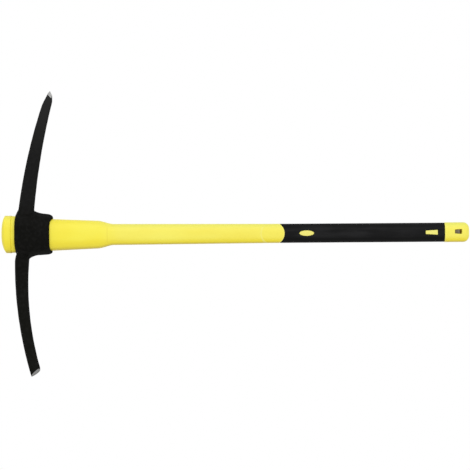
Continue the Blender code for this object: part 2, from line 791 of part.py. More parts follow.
def eye_core():
    """The tapered eye that is punched through the socket."""
    top_x = HEAD_TOP_X - MARGIN
    end_x = HEAD_TOP_X + SOCKET_LENGTH + 2 * MARGIN
    return oval_loft([eye_taper(top_x, EYE_GAP), eye_taper(end_x, EYE_GAP)])


def build_head(body):
    """The forging: a socket joined to its two arms, with the eye cut through."""
    head = add_object("pick_head", socket_shell(), make_material("painted_steel", PAINTED_STEEL), body)
    combine(head, "UNION", add_shaper("pick_arm_shape", pick_arm()))
    combine(head, "UNION", add_shaper("chisel_arm_shape", chisel_arm()))
    combine(head, "DIFFERENCE", add_shaper("eye_shape", eye_core()))
    return head


def build_pickaxe():
    """Build the handle's pieces on one body and the head on another, which slides along X."""
    handle = add_body("handle", (0.0, 0.0, 0.0))
    build_jacket(handle)
    build_core(handle)
    build_grip(handle)
    head = add_body("head", (HEAD_TOP_X, 0.0, 0.0))
    build_head(head)


clear_scene()
build_pickaxe()
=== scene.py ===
"""A pickaxe in a pale studio: forged black head, yellow jacketed handle, black rubber grip.

X runs along the handle from its eye end to its butt, +Y is the side of the pick arm, and the tool
lies on a cheek of its eye on a floor below it. Lengths are in metres and angles in degrees.
"""

import logging
import math
from dataclasses import dataclass, replace
from enum import Enum
from typing import Callable, Sequence, Union

import bmesh
import bpy
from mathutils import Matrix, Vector, noise


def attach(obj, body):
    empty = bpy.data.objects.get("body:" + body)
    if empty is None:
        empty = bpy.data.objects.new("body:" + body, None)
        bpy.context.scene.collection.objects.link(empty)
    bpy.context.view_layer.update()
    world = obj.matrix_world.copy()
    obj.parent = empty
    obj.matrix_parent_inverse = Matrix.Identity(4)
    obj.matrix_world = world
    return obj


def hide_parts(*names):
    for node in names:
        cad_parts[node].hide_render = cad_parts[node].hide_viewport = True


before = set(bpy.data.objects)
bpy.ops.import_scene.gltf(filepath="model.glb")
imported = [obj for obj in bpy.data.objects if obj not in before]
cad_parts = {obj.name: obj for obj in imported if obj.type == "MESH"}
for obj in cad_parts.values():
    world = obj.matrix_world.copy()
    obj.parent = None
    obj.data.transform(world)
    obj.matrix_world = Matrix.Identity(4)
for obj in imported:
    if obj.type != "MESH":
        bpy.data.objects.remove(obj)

LOG = logging.getLogger("pickaxe")
MM = 0.001

# A tool solid reaches past the face that it cuts by CLEAR, and is wider there by FLARE.
CLEAR = 2.0 * MM
FLARE = 0.3 * MM
TOUCHING = 1e-7

Mesh = bmesh.types.BMesh
Colour = tuple[float, float, float]
Span = tuple[float, float]
Place = Callable[[int, int], Vector]


class Body(Enum):
    """The two bodies that pieces ride on."""

    HANDLE = "handle"
    HEAD = "head"


class Side(Enum):
    """The two sides of the head, as the sign of Y."""

    PICK = 1
    CHISEL = -1


# Shader sums


def math_step(operation: str, swapped: bool = False) -> Callable[..., "Wire"]:
    """A method of a wire that adds a Math node.

    Args:
        operation: The node's operation.
        swapped: Whether the other value comes first, as in 1 - mask.

    Returns:
        The method.
    """

    def step(wire: "Wire", other: "Value" = 0.0) -> "Wire":
        """The wire and the other value, through the node."""
        first, second = (other, wire) if swapped else (wire, other)
        return wire.bench.node("ShaderNodeMath", {"operation": operation}, {0: first, 1: second})

    return step


class Wire:
    """A node's output that takes part in Python sums."""

    def __init__(self, bench: "Bench", socket: bpy.types.NodeSocket) -> None:
        """Keep the bench that the node stands on, and its socket."""
        self.bench = bench
        self.socket = socket

    __add__ = math_step("ADD")
    __radd__ = math_step("ADD", swapped=True)
    __sub__ = math_step("SUBTRACT")
    __rsub__ = math_step("SUBTRACT", swapped=True)
    __mul__ = math_step("MULTIPLY")
    __rmul__ = math_step("MULTIPLY", swapped=True)
    __abs__ = math_step("ABSOLUTE")
    at_least = math_step("MAXIMUM")
    at_most = math_step("MINIMUM")

    def ease(self, start: float, end: float) -> "Wire":
        """An S-curve from 0 where this is start to 1 where it is end.

        Args:
            start: Where it starts to rise.
            end: Where it has risen.

        Returns:
            The curve.
        """
        return self.bench.node(
            "ShaderNodeMapRange",
            {"interpolation_type": "SMOOTHSTEP"},
            {0: self, 1: start, 2: end, 3: 0.0, 4: 1.0},
        )

    def fade(self, start: float, end: float) -> "Wire":
        """An S-curve from 1 where this is start to 0 where it is end."""
        return 1.0 - self.ease(start, end)


Value = Union[Wire, float, int]


class Bench:
    """The node tree of one material, and the few kinds of node that its finish is made of."""

    def __init__(self, name: str) -> None:
        """Start a material of that name.

        Args:
            name: The material's name.
        """
        self.material = bpy.data.materials.new(name)
        self.material.use_nodes = True
        self.tree = self.material.node_tree
        self.shader = self.tree.nodes["Principled BSDF"]
        self._place: Union[Wire, None] = None

    def feed(self, socket: bpy.types.NodeSocket, value: object) -> None:
        """Link a wire to a socket, or set the socket's own value.

        Args:
            socket: The input to feed.
            value: A wire, a number, or a tuple of numbers.
        """
        if isinstance(value, Wire):
            self.tree.links.new(value.socket, socket)
        elif isinstance(value, tuple) and len(value) == 3 and len(socket.default_value) == 4:
            socket.default_value = (*value, 1.0)
        else:
            socket.default_value = value

    def node(self, kind: str, settings: dict, feeds: dict, output: Union[int, str] = 0) -> Wire:
        """Add a node.

        Args:
            kind: The node's type.
            settings: Its properties, set first.
            feeds: What its inputs get, by number or name.
            output: Which output to give back.

        Returns:
            The output as a wire.
        """
        made = self.tree.nodes.new(kind)
        for name, value in settings.items():
            setattr(made, name, value)
        for key, value in feeds.items():
            self.feed(made.inputs[key], value)
        return Wire(self, made.outputs[output])

    def place(self) -> Wire:
        """The point's place on the piece, which is its place in the frame.

        Returns:
            The place, from a node that the whole material shares.
        """
        if self._place is None:
            self._place = self.node("ShaderNodeTexCoord", {}, {}, "Object")
        return self._place

    def axis(self, name: str) -> Wire:
        """X, Y or Z of the point's place."""
        return self.node("ShaderNodeSeparateXYZ", {}, {0: self.place()}, name)

    def stretched(self, stretch: Sequence[float], turn: float = 0.0) -> Wire:
        """The place turned about Z and then scaled along each axis.

        Args:
            stretch: How much finer a pattern gets along X, Y and Z.
            turn: The turn about Z before that, in degrees.

        Returns:
            The new coordinates.
        """
        turned = self.node(
            "ShaderNodeVectorRotate",
            {"rotation_type": "Z_AXIS"},
            {"Vector": self.place(), "Angle": math.radians(turn)},
        )
        return self.node(
            "ShaderNodeVectorMath", {"operation": "MULTIPLY"}, {0: turned, 1: tuple(stretch)}
        )

    def grain(
        self,
        size: float,
        detail: float = 2.0,
        stretch: Sequence[float] = (1.0, 1.0, 1.0),
        turn: float = 0.0,
    ) -> Wire:
        """Noise of 0 to 1 whose blotches are about a size across.

        Args:
            size: The size of a blotch.
            detail: How many finer layers it has.
            stretch: How much finer it is along X, Y and Z.
            turn: Its turn about Z, in degrees.

        Returns:
            The noise.
        """
        place = self.stretched(stretch, turn) if turn or set(stretch) != {1.0} else self.place()
        return self.node(
            "ShaderNodeTexNoise", {}, {"Vector": place, "Scale": 1.0 / size, "Detail": detail}
        )

    def cells(self, size: float, stretch: Sequence[float] = (1.0, 1.0, 1.0)) -> Wire:
        """The distance to the nearest of scattered points, 0 to about 1.

        Args:
            size: How far apart the points are.
            stretch: How much closer they are along X, Y and Z.

        Returns:
            The distance.
        """
        place = self.stretched(stretch)
        return self.node("ShaderNodeTexVoronoi", {}, {"Vector": place, "Scale": 1.0 / size})

    def reach(self, centre: tuple[float, float, float], stretch: Sequence[float]) -> Wire:
        """How far the place, scaled along each axis, lies from a centre.

        Args:
            centre: The centre.
            stretch: The scale along X, Y and Z.

        Returns:
            The distance.
        """
        feeds = {0: self.stretched(stretch), 1: centre}
        return self.node("ShaderNodeVectorMath", {"operation": "DISTANCE"}, feeds, "Value")

    def attribute(self, name: str) -> Wire:
        """A number that the mesh carries at its vertices."""
        return self.node("ShaderNodeAttribute", {"attribute_name": name}, {}, "Fac")

    def blend(self, share: Wire, first: object, second: object) -> Wire:
        """A colour between two.

        Args:
            share: 0 for the first, 1 for the second.
            first: A colour or a wire.
            second: A colour or a wire.

        Returns:
            The blended colour.
        """
        mixed = self.tree.nodes.new("ShaderNodeMix")
        mixed.data_type = "RGBA"
        colours = [socket for socket in mixed.inputs if socket.type == "RGBA"]
        self.feed(mixed.inputs[0], share)
        self.feed(colours[0], first)
        self.feed(colours[1], second)
        return Wire(self, next(socket for socket in mixed.outputs if socket.type == "RGBA"))

    def relief(self, height: Wire) -> Wire:
        """A normal bumped by a height in metres."""
        return self.node("ShaderNodeBump", {}, {"Strength": 1.0, "Distance": 1.0, "Height": height})

    def dress(self, sockets: dict) -> bpy.types.Material:
        """Feed the Principled shader.

        Args:
            sockets: What each of its sockets gets.

        Returns:
            The finished material.
        """
        for name, value in sockets.items():
            self.feed(self.shader.inputs[name], value)
        return self.material


# Finishes


@dataclass(frozen=True)
class ForgeBlack:
    """Black paint over a forging's scale, and steel ground bare at the point and the edge."""

    paint: Colour = (0.0022, 0.0022, 0.0015)
    olive: Colour = (0.0040, 0.0041, 0.0025)
    # Lighter greys of painted light, one near the eye and one far out along the pick arm.
    painted_light_near: Colour = (0.0066, 0.0066, 0.0064)
    painted_light_far: Colour = (0.0170, 0.0170, 0.0168)
    # Lighter, scuffed paint, also used as a painted highlight on the ridges.
    rubbed_and_highlight: Colour = (0.0180, 0.0178, 0.0170)
    # The painted shade of the head's side faces.
    shade: Colour = (0.0010, 0.0010, 0.0008)
    steel: Colour = (0.34, 0.34, 0.335)
    dull_steel: Colour = (0.18, 0.18, 0.175)
    bright_steel: Colour = (0.41, 0.41, 0.40)
    edge_skew: float = 36.0
    point_lean: float = 34.0
    stroke_size: float = 9 * MM
    stroke_fineness: float = 26.0
    sides_meet: Span = (-1 * MM, 1 * MM)
    olive_reach: Span = (30 * MM, 200 * MM)
    # Where the two greys of painted light rise along the pick arm.
    painted_light_near_reach: Span = (30 * MM, 75 * MM)
    painted_light_far_reach: Span = (130 * MM, 270 * MM)
    paint_edge: Span = (-0.42, -0.14)
    ridge_wear_and_highlight: Span = (0.42, 0.86)
    flank_turn: Span = (0.15, 0.70)
    edge_band: Span = (1.0 * MM, 2.6 * MM)
    flash_height: Span = (0.3 * MM, 1.1 * MM)
    scale_depth: float = 0.10 * MM
    peel_depth: float = 0.035 * MM
    flash_depth: float = 0.12 * MM
    stroke_depth: float = 0.03 * MM
    grinding_depth: float = 0.05 * MM

    def grind(self, bench: Bench, on_point: Wire) -> Wire:
        """The grinder's strokes, across the pick arm and square to the chisel edge.

        Args:
            bench: The material's bench.
            on_point: 1 on the pick's side, 0 on the chisel's.

        Returns:
            The height of the strokes, 0 to 1.
        """
        fine = self.stroke_fineness
        across_point = bench.grain(self.stroke_size, 3.0, (1.0, fine, 1.0), self.point_lean)
        across_edge = bench.grain(self.stroke_size, 3.0, (fine, 1.0, 1.0), -self.edge_skew)
        return across_point * on_point + across_edge * (1.0 - on_point)

    def bare_metal(self, bench: Bench, strokes: Wire, on_point: Wire) -> Wire:
        """The colour of the ground steel.

        Args:
            bench: The material's bench.
            strokes: The height of the grinder's strokes.
            on_point: 1 on the pick's side, 0 on the chisel's.

        Returns:
            The colour.
        """
        cut = strokes.ease(0.3, 0.7)
        band = abs(bench.axis("Z")).ease(*self.edge_band)
        edge = bench.blend(cut * 0.35 + band * 0.65, self.dull_steel, self.steel)
        point = bench.blend(cut * 0.6, self.bright_steel, self.dull_steel)
        return bench.blend(on_point, edge, point)

    def coat(self, bench: Bench) -> Wire:
        """The paint: black on the eye and olive down the chisel arm, with painted light that turns
        it lighter grey towards the pick's point.

        Args:
            bench: The material's bench.

        Returns:
            The colour.
        """
        pick_side = bench.axis("Y")
        chisel_side = 0.0 - pick_side
        below = bench.blend(chisel_side.ease(*self.olive_reach), self.paint, self.olive)
        # Painted light: the pick arm's paint turns lighter grey away from the eye, most towards its
        # point.
        above = bench.blend(pick_side.ease(*self.painted_light_near_reach), below, self.painted_light_near)
        return bench.blend(pick_side.ease(*self.painted_light_far_reach), above, self.painted_light_far)

    def make(self) -> bpy.types.Material:
        """Make the material.

        Returns:
            The finished material.
        """
        bench = Bench("forge_black")
        patchy = bench.grain(1.6 * MM, 3.0)
        blotch = bench.grain(22 * MM, 3.0)
        mottle = bench.grain(6 * MM, 3.0)
        scale = bench.cells(3.4 * MM)
        peel = bench.grain(0.9 * MM, 2.0)
        on_point = bench.axis("Y").ease(*self.sides_meet)
        strokes = self.grind(bench, on_point)

        bare = (bench.attribute("ground_gap") + (patchy - 0.5) * 0.5).ease(*self.paint_edge)
        ridge = bench.attribute("ridge") + (patchy - 0.5) * 0.35 + (blotch - 0.5) * 0.5
        # Lighter paint on convex ridges: scuffed paint and a painted edge highlight.
        rub_and_highlight = ridge.ease(*self.ridge_wear_and_highlight)
        flank = bench.attribute("level").fade(*self.flank_turn)
        wear_and_highlight = ((blotch - 0.35) * 0.35 + (mottle - 0.5) * 0.9 + rub_and_highlight * 0.25).at_least(0.0)
        painted = bench.blend(wear_and_highlight, self.coat(bench), self.rubbed_and_highlight)
        # Painted shade: the side faces, which face neither up nor down along Z, are darkened.
        painted = bench.blend(flank * 0.8, painted, self.shade)

        flash = abs(bench.axis("Z")).fade(*self.flash_height)
        skin = (
            (scale.ease(0.0, 0.55) - 1.0) * blotch.ease(0.42, 0.66) * self.scale_depth
            + peel * self.peel_depth
            + flash * blotch.ease(0.40, 0.60) * self.flash_depth
        )
        ground = strokes * self.stroke_depth - self.grinding_depth
        satin = 0.52 + peel * 0.12 - rub_and_highlight * 0.10 + flank * 0.30
        return bench.dress(
            {
                "Base Color": bench.blend(bare, painted, self.bare_metal(bench, strokes, on_point)),
                "Metallic": bare * 0.95,
                "Roughness": satin * (1.0 - bare) + (0.26 + patchy * 0.16) * bare,
                "Specular IOR Level": 0.07,
                "Normal": bench.relief(skin * (1.0 - bare) + ground * bare),
            }
        )


@dataclass(frozen=True)
class MouldedYellow:
    """Satin yellow plastic, with faint flow marks, fine mould texture and a parting line."""

    plan: "HandlePlan"
    bright: Colour = (0.905, 0.815, 0.062)
    deep: Colour = (0.880, 0.740, 0.032)
    # The paler yellow, for the pads and for painted light.
    faded_and_lit: Colour = (0.880, 0.845, 0.250)
    # The painted shade of the faces turned up towards +Y.
    shaded_top: Colour = (0.790, 0.775, 0.120)
    grime: Colour = (0.560, 0.440, 0.060)
    # The painted shade of the step line and of the lower edge.
    shade: Colour = (0.400, 0.270, 0.015)
    # The painted shade inside the hanging hole.
    hole_shade: Colour = (0.450, 0.290, 0.008)
    rim: Span = (0.8 * MM, 2.6 * MM)
    # Where painted light pales the cap and the shaft, and where painted shade darkens the top of
    # the shaft and the butt.
    lit_cap_reach: Span = (22 * MM, 34 * MM)
    shaded_top_reach: Span = (120 * MM, 260 * MM)
    lit_shaft_reach: Span = (185 * MM, 235 * MM)
    shaded_butt_reach: Span = (850 * MM, 858 * MM)
    past_tongue: Span = (20 * MM, 24 * MM)
    before_butt: Span = (-8 * MM, -4 * MM)
    lower_flank: Span = (6 * MM, 22 * MM)
    grip_front: Span = (555 * MM, 565 * MM)
    grip_rear: Span = (840 * MM, 846 * MM)
    step_x: float = 203.5 * MM
    step_line: Span = (0.3 * MM, 1.3 * MM)
    seam_line: Span = (0.10 * MM, 0.35 * MM)
    hole: tuple[float, float, float] = (878.2 * MM, 1.7 * MM, 0.0)
    hole_stretch: tuple[float, float, float] = (1.0, 1.4, 0.0)
    hole_wall: Span = (7.5 * MM, 8.5 * MM)
    hole_mouth: Span = (11.0 * MM, 15.0 * MM)
    fine_depth: float = 0.012 * MM
    pore_depth: float = 0.010 * MM
    seam_depth: float = 0.07 * MM

    def fading_and_painted_light(self, bench: Bench, along: Wire, side: Wire) -> Wire:
        """How much of the paler colour the plastic takes: most on the pads, scuffed and with a
        painted highlight at the grip's front and rear edges, and as painted light on the shaft,
        except on its lower faces, and on the upper faces of the cap.

        Args:
            bench: The material's bench.
            along: The place along the handle.
            side: 1 where the surface faces the pick arm, -1 where it faces the chisel arm.

        Returns:
            The share of the paler colour.
        """
        plan = self.plan
        front = plan.shaft_end.x
        rear = plan.butt_start.x
        radius = plan.tongue_radius()
        seam = bench.reach((front + plan.tongue - radius, 0.0, 0.0), (1.0, 1.0, 0.0)) - radius
        # Scuffed plastic and a painted highlight along the grip's front and rear edges.
        seam_rub_and_highlight = (abs(seam).fade(*self.rim) * 0.55).at_least(abs(along - rear).fade(*self.rim) * 0.40)
        front_end = along.ease(*(front + x for x in self.past_tongue))
        pads = front_end * along.fade(*(rear + x for x in self.before_butt))
        below = (0.0 - side).ease(0.10, 0.70)
        # Painted light: the shaft is paler, except on its faces turned down towards -Y.
        shaft = along.ease(*self.lit_shaft_reach) * (0.25 - below * 0.24)
        # Painted light: the cap's faces turned up towards +Y are paler.
        cap = side.ease(0.30, 0.90) * along.fade(*self.lit_cap_reach) * 0.12
        return seam_rub_and_highlight.at_least(pads * 0.70).at_least(shaft).at_least(cap)

    def in_hole(self, bench: Bench) -> Wire:
        """1 on the walls of the hanging hole, away from its mouths, where shade is painted."""
        walls = bench.reach(self.hole, self.hole_stretch).fade(*self.hole_wall)
        return walls * abs(bench.axis("Z")).fade(*self.hole_mouth)

    def make(self) -> bpy.types.Material:
        """Make the material.

        Returns:
            The finished material.
        """
        bench = Bench("moulded_yellow")
        along = bench.axis("X")
        side = bench.attribute("side")
        flow = bench.grain(34 * MM, 4.0, (0.35, 1.0, 1.0))
        cloud = bench.grain(90 * MM, 2.0)
        texture = bench.grain(0.55 * MM, 2.0)
        pores = bench.cells(1.6 * MM).ease(0.0, 0.24)
        scuff = bench.grain(5 * MM, 4.0, (0.25, 3.0, 3.0)).ease(0.66, 0.78)
        seam = abs(bench.axis("Z")).fade(*self.seam_line)

        # Painted shade: towards -Y the plastic is drawn to the deeper yellow.
        flank = (0.0 - bench.axis("Y")).ease(*self.lower_flank) * 0.5
        brightness = (flow * 0.7 + cloud * 0.5 - 0.1 - flank).ease(0.25, 0.75)
        paler = (self.fading_and_painted_light(bench, along, side) + (flow - 0.5) * 0.16).at_least(0.0)
        tone = bench.blend(paler, bench.blend(brightness, self.deep, self.bright), self.faded_and_lit)
        # Painted shade: on the shaft and the butt, the faces turned up towards +Y are darkened.
        top = along.ease(*self.shaded_top_reach) * 0.75 + along.ease(*self.shaded_butt_reach) * 0.20
        tone = bench.blend(side.ease(0.15, 0.75) * top, tone, self.shaded_top)
        # Painted shade: a narrow dark line across the broad faces, where a shallow moulded step
        # ends the swell.
        step = abs(along - self.step_x).fade(*self.step_line) * abs(side).fade(0.2, 0.6)
        tone = bench.blend(step * 0.16, tone, self.shade)
        # Painted shade: the faces turned down towards -Y darken to a brown line along the lower
        # edge.
        tone = bench.blend((0.0 - side).ease(0.60, 0.98) * 0.50, tone, self.shade)
        # Painted shade: the walls deep in the hanging hole turn brown.
        tone = bench.blend(self.in_hole(bench) * 0.9, tone, self.hole_shade)
        # Where the jacket runs under the grip, which shows only on the pads, it is darkened.
        under_grip = along.ease(*self.grip_front) * along.fade(*self.grip_rear)
        soiled = (1.0 - pores) * 0.10 + scuff * 0.06 + under_grip * 0.15
        height = (
            texture * self.fine_depth
            + pores * self.pore_depth
            + seam * self.seam_depth
            - scuff * self.pore_depth
        )
        return bench.dress(
            {
                "Base Color": bench.blend(soiled, tone, self.grime),
                "Roughness": 0.40 + texture * 0.08 + scuff * 0.12 + (flow - 0.5) * 0.06,
                "Specular IOR Level": 0.42,
                "Normal": bench.relief(height),
            }
        )


@dataclass(frozen=True)
class GripRubber:
    """Matt black rubber with a pebbled mould grain and faint lengthwise streaks."""

    dark: Colour = (0.0042, 0.0042, 0.0046)
    paler: Colour = (0.0122, 0.0122, 0.0129)
    # The painted shade along the grip's lower and upper edges.
    under: Colour = (0.0012, 0.0012, 0.0013)
    lower_turn: Span = (4 * MM, 12 * MM)
    upper_turn: Span = (8 * MM, 15 * MM)
    seam_line: Span = (0.08 * MM, 0.30 * MM)
    pebble_depth: float = 0.060 * MM
    fine_depth: float = 0.018 * MM
    seam_depth: float = 0.08 * MM

    def make(self) -> bpy.types.Material:
        """Make the material.

        Returns:
            The finished material.
        """
        bench = Bench("grip_rubber")
        pebble = bench.cells(0.95 * MM, (0.7, 1.0, 1.0))
        fine = bench.grain(0.45 * MM, 2.0)
        streak = bench.grain(7 * MM, 3.0, (0.10, 1.0, 1.0))
        blotch = bench.grain(26 * MM, 3.0, (0.5, 1.0, 1.0))
        seam = abs(bench.axis("Z")).fade(*self.seam_line)
        lift = (streak * 0.6 + blotch * 0.6 - 0.1).ease(0.36, 0.66)
        tone = bench.blend(lift * 0.8, self.dark, self.paler)
        # Painted shade: the rubber darkens towards its lower edge and, less, towards its upper
        # edge.
        across = bench.axis("Y")
        lower = (0.0 - across).ease(*self.lower_turn) * 0.95
        turned = lower.at_least(across.ease(*self.upper_turn) * 0.6)
        height = (
            pebble.ease(0.0, 0.75) * -self.pebble_depth
            + fine * self.fine_depth
            + seam * self.seam_depth
        )
        return bench.dress(
            {
                "Base Color": bench.blend(turned, tone, self.under),
                "Roughness": 0.72 + fine * 0.10 - lift * 0.06,
                "Specular IOR Level": 0.16,
                "Normal": bench.relief(height),
            }
        )


@dataclass(frozen=True)
class SawnFibreglass:
    """The bar of glass fibre: pale resin, the cut ends of its bundles, and saw marks."""

    resin: Colour = (0.42, 0.40, 0.24)
    fibre: Colour = (0.70, 0.68, 0.50)
    thread_depth: float = 0.02 * MM
    saw_depth: float = 0.05 * MM

    def make(self) -> bpy.types.Material:
        """Make the material.

        Returns:
            The finished material.
        """
        bench = Bench("sawn_fibreglass")
        bundle = bench.cells(0.85 * MM, (0.02, 1.0, 1.0))
        thread = bench.grain(0.22 * MM, 2.0, (0.02, 1.0, 1.0))
        cloud = bench.grain(5 * MM, 3.0, (0.1, 1.0, 1.0))
        saw = bench.grain(6 * MM, 3.0, (1.0, 0.2, 9.0))
        pale = bundle.fade(0.10, 0.55) * 0.7 + thread * 0.35
        return bench.dress(
            {
                "Base Color": bench.blend(
                    (pale * 0.8 + cloud * 0.3).at_most(1.0), self.resin, self.fibre
                ),
                "Roughness": 0.50 + thread * 0.25,
                "Normal": bench.relief(thread * self.thread_depth + saw * self.saw_depth),
            }
        )


# Shapes


def mix(start: float, end: float, share: float) -> float:
    """The value that lies a share of the way from start to end."""
    return start + (end - start) * share


def shares(count: int) -> list[float]:
    """The shares 0 to 1 in a number of equal steps."""
    return [step / count for step in range(count + 1)]


def smooth_step(share: float) -> float:
    """An S-curve from 0 to 1, level at both ends."""
    return share * share * (3 - 2 * share)


def quarter(radius: float, steps: int) -> list[tuple[float, float]]:
    """A quarter circle, as an edge is rounded.

    Args:
        radius: Its radius.
        steps: How many steps it has.

    Returns:
        For each point, how far it lies back from the one flank and in from the other.
    """
    angles = [math.radians(90 * share) for share in shares(steps)]
    return [(radius * (1 - math.sin(angle)), radius * (1 - math.cos(angle))) for angle in angles]


def superellipse(
    angle: float, half_width: float, half_depth: float, squareness: float
) -> tuple[float, float]:
    """A point on an oval whose flanks flatten as its squareness rises above 2.

    Args:
        angle: The point's angle, in radians.
        half_width: The oval's half width, reached at angle 0.
        half_depth: Its half depth, reached a quarter turn on.
        squareness: 2 for an ellipse, more for flatter flanks.

    Returns:
        The point's place across and along.
    """
    across = math.copysign(abs(math.cos(angle)) ** (2 / squareness), math.cos(angle))
    along = math.copysign(abs(math.sin(angle)) ** (2 / squareness), math.sin(angle))
    return half_width * across, half_depth * along


@dataclass(frozen=True)
class Oval:
    """A superelliptic section square to the handle, which may follow the curve of the tongue."""

    x: float
    half_height: float
    half_depth: float
    squareness: float = 2.0
    curve: float = 0.0
    shift: float = 0.0
    lean: float = 0.0

    def point(self, angle: float) -> Vector:
        """The section's point at an angle in radians."""
        y, z = superellipse(angle, self.half_height, self.half_depth, self.squareness)
        return Vector((self.x - self.lean * y / self.half_height, y + self.shift, z))

    def surface_z(self, y: float) -> float:
        """How high the section's surface stands at y."""
        share = min(1.0, abs(y) / self.half_height)
        return self.half_depth * (1 - share**self.squareness) ** (1 / self.squareness)

    def inset(self, depth: float) -> "Oval":
        """The section, smaller by a depth all round."""
        half_height = self.half_height - depth
        return replace(self, half_height=half_height, half_depth=self.half_depth - depth)

    def at(self, x: float, curve: float = 0.0) -> "Oval":
        """The section moved to another x, and to another share of the tongue's curve."""
        return replace(self, x=x, curve=curve)

    def toward(self, other: "Oval", share: float) -> "Oval":
        """The flat section that lies a share of the way to another.

        Args:
            other: The other section.
            share: How far towards it.

        Returns:
            The section.
        """
        return Oval(
            mix(self.x, other.x, share),
            mix(self.half_height, other.half_height, share),
            mix(self.half_depth, other.half_depth, share),
            mix(self.squareness, other.squareness, share),
            shift=mix(self.shift, other.shift, share),
        )


def loft(rings: int, segments: int, place: Place, looped: bool = False) -> Mesh:
    """A tube through rings of points.

    Args:
        rings: How many rings it has.
        segments: How many points a ring has.
        place: Gives a point's place from its ring and its number in the ring.
        looped: Whether the last ring joins the first, in place of a cap at each end.

    Returns:
        The closed mesh, with its faces turned outwards.
    """
    bm = bmesh.new()
    bmesh.ops.create_circle(bm, segments=segments, radius=1.0)
    first = list(bm.edges)
    edges = first
    for _ in range(rings - 1):
        grown = bmesh.ops.extrude_edge_only(bm, edges=edges)["geom"]
        verts = [item for item in grown if isinstance(item, bmesh.types.BMVert)]
        bmesh.ops.translate(bm, verts=verts, vec=(0, 0, 1))
        edges = [item for item in grown if isinstance(item, bmesh.types.BMEdge)]
        edges = [edge for edge in edges if edge.is_boundary]
    if looped:
        bmesh.ops.bridge_loops(bm, edges=first + edges)
    else:
        open_edges = [edge for edge in bm.edges if edge.is_boundary]
        bmesh.ops.holes_fill(bm, edges=open_edges, sides=0)
    for vert in bm.verts:
        step = round(math.atan2(vert.co.y, vert.co.x) / math.tau * segments) % segments
        vert.co = place(round(vert.co.z), step)
    bmesh.ops.recalc_face_normals(bm, faces=bm.faces)
    if bm.calc_volume(signed=True) < 0:
        bmesh.ops.reverse_faces(bm, faces=bm.faces)
    return bm


Shift = Callable[[Oval, float], float]


def oval_loft(ovals: Sequence[Oval], segments: int, shift: Shift, looped: bool = False) -> Mesh:
    """A loft through ovals along the handle.

    Args:
        ovals: The sections, in order.
        segments: How many points each has.
        shift: How far a section's point moves along X, from the section and the point's y.
        looped: Whether the last section joins the first.

    Returns:
        The mesh.
    """

    def place(ring: int, step: int) -> Vector:
        """A point of a section.

        Args:
            ring: The ring's number.
            step: The point's number in the ring.

        Returns:
            Its place.
        """
        point = ovals[ring].point(math.tau * step / segments)
        point.x += shift(ovals[ring], point.y)
        return point

    return loft(len(ovals), segments, place, looped=looped)


def no_shift(_oval: Oval, _y: float) -> float:
    """Leave a section flat."""
    return 0.0


@dataclass(frozen=True)
class Outline:
    """A closed outline seen along Z, which can be grown all round."""

    centres: tuple[Vector, ...]
    normals: tuple[Vector, ...]
    corner: float

    @staticmethod
    def ellipse(centre_x: float, length: float, height: float, steps: int) -> "Outline":
        """An ellipse.

        Args:
            centre_x: X of its middle.
            length: Its length along X.
            height: Its height along Y.
            steps: How many points it has.

        Returns:
            The outline.
        """
        centres = []
        normals = []
        for step in range(steps):
            angle = math.tau * step / steps
            across, along = math.cos(angle), math.sin(angle)
            centres.append(Vector((centre_x + length / 2 * across, height / 2 * along)))
            normals.append(Vector((height * across, length * along)).normalized())
        return Outline(tuple(centres), tuple(normals), 0.0)

    @staticmethod
    def trapezoid(
        centre_x: float, length: float, narrow: float, wide: float, corner: float, steps: int
    ) -> "Outline":
        """A trapezoid with rounded corners, widening towards the butt.

        Args:
            centre_x: X of its middle.
            length: Its length along X.
            narrow: Its height at the front.
            wide: Its height at the rear.
            corner: The radius of its corners.
            steps: How many steps a corner has.

        Returns:
            The outline.
        """
        front = centre_x - length / 2
        rear = centre_x + length / 2
        corners = [
            Vector((front, -narrow / 2)),
            Vector((rear, -wide / 2)),
            Vector((rear, wide / 2)),
            Vector((front, narrow / 2)),
        ]
        centres = []
        normals = []
        for index, point in enumerate(corners):
            before = (point - corners[index - 1]).normalized()
            after = (corners[(index + 1) % len(corners)] - point).normalized()
            first = Vector((before.y, -before.x))
            last = Vector((after.y, -after.x))
            centre = point - (first + last) * (corner / (1 + first.dot(last)))
            for share in shares(steps):
                centres.append(centre)
                normals.append(first.lerp(last, share).normalized())
        return Outline(tuple(centres), tuple(normals), corner)

    def count(self) -> int:
        """How many points it has."""
        return len(self.centres)

    def point(self, step: int, grow: float = 0.0) -> Vector:
        """A point of the outline, grown by a width."""
        return self.centres[step] + self.normals[step] * (self.corner + grow)

    def middle(self) -> Vector:
        """The middle of its points."""
        return sum(self.centres, Vector((0.0, 0.0))) / len(self.centres)


@dataclass(frozen=True)
class Level:
    """A ring of a solid that follows an outline.

    It is grown by a width, drawn in to a share of its spread, and stands at a height above the
    surface times how it follows that: 1 for over it, -1 for its mirror image, 0 for flat.
    """

    grow: float
    height: float
    follow: int = 1
    spread: float = 1.0
    shift: tuple[float, float] = (0.0, 0.0)


def outline_loft(outline: Outline, surface: Oval, levels: Sequence[Level]) -> Mesh:
    """A solid that follows an outline.

    Args:
        outline: The outline.
        surface: The section whose surface the levels are measured from.
        levels: Its rings, in order.

    Returns:
        Its mesh.
    """
    middle = outline.middle()

    def place(ring: int, step: int) -> Vector:
        """A point of a ring.

        Args:
            ring: The ring's number.
            step: The point's number in the ring.

        Returns:
            Its place.
        """
        level = levels[ring]
        flat = middle.lerp(outline.point(step, level.grow), level.spread)
        z = level.follow * surface.surface_z(flat.y) + level.height
        return Vector((flat.x + level.shift[0], flat.y + level.shift[1], z))

    return loft(len(levels), outline.count(), place)


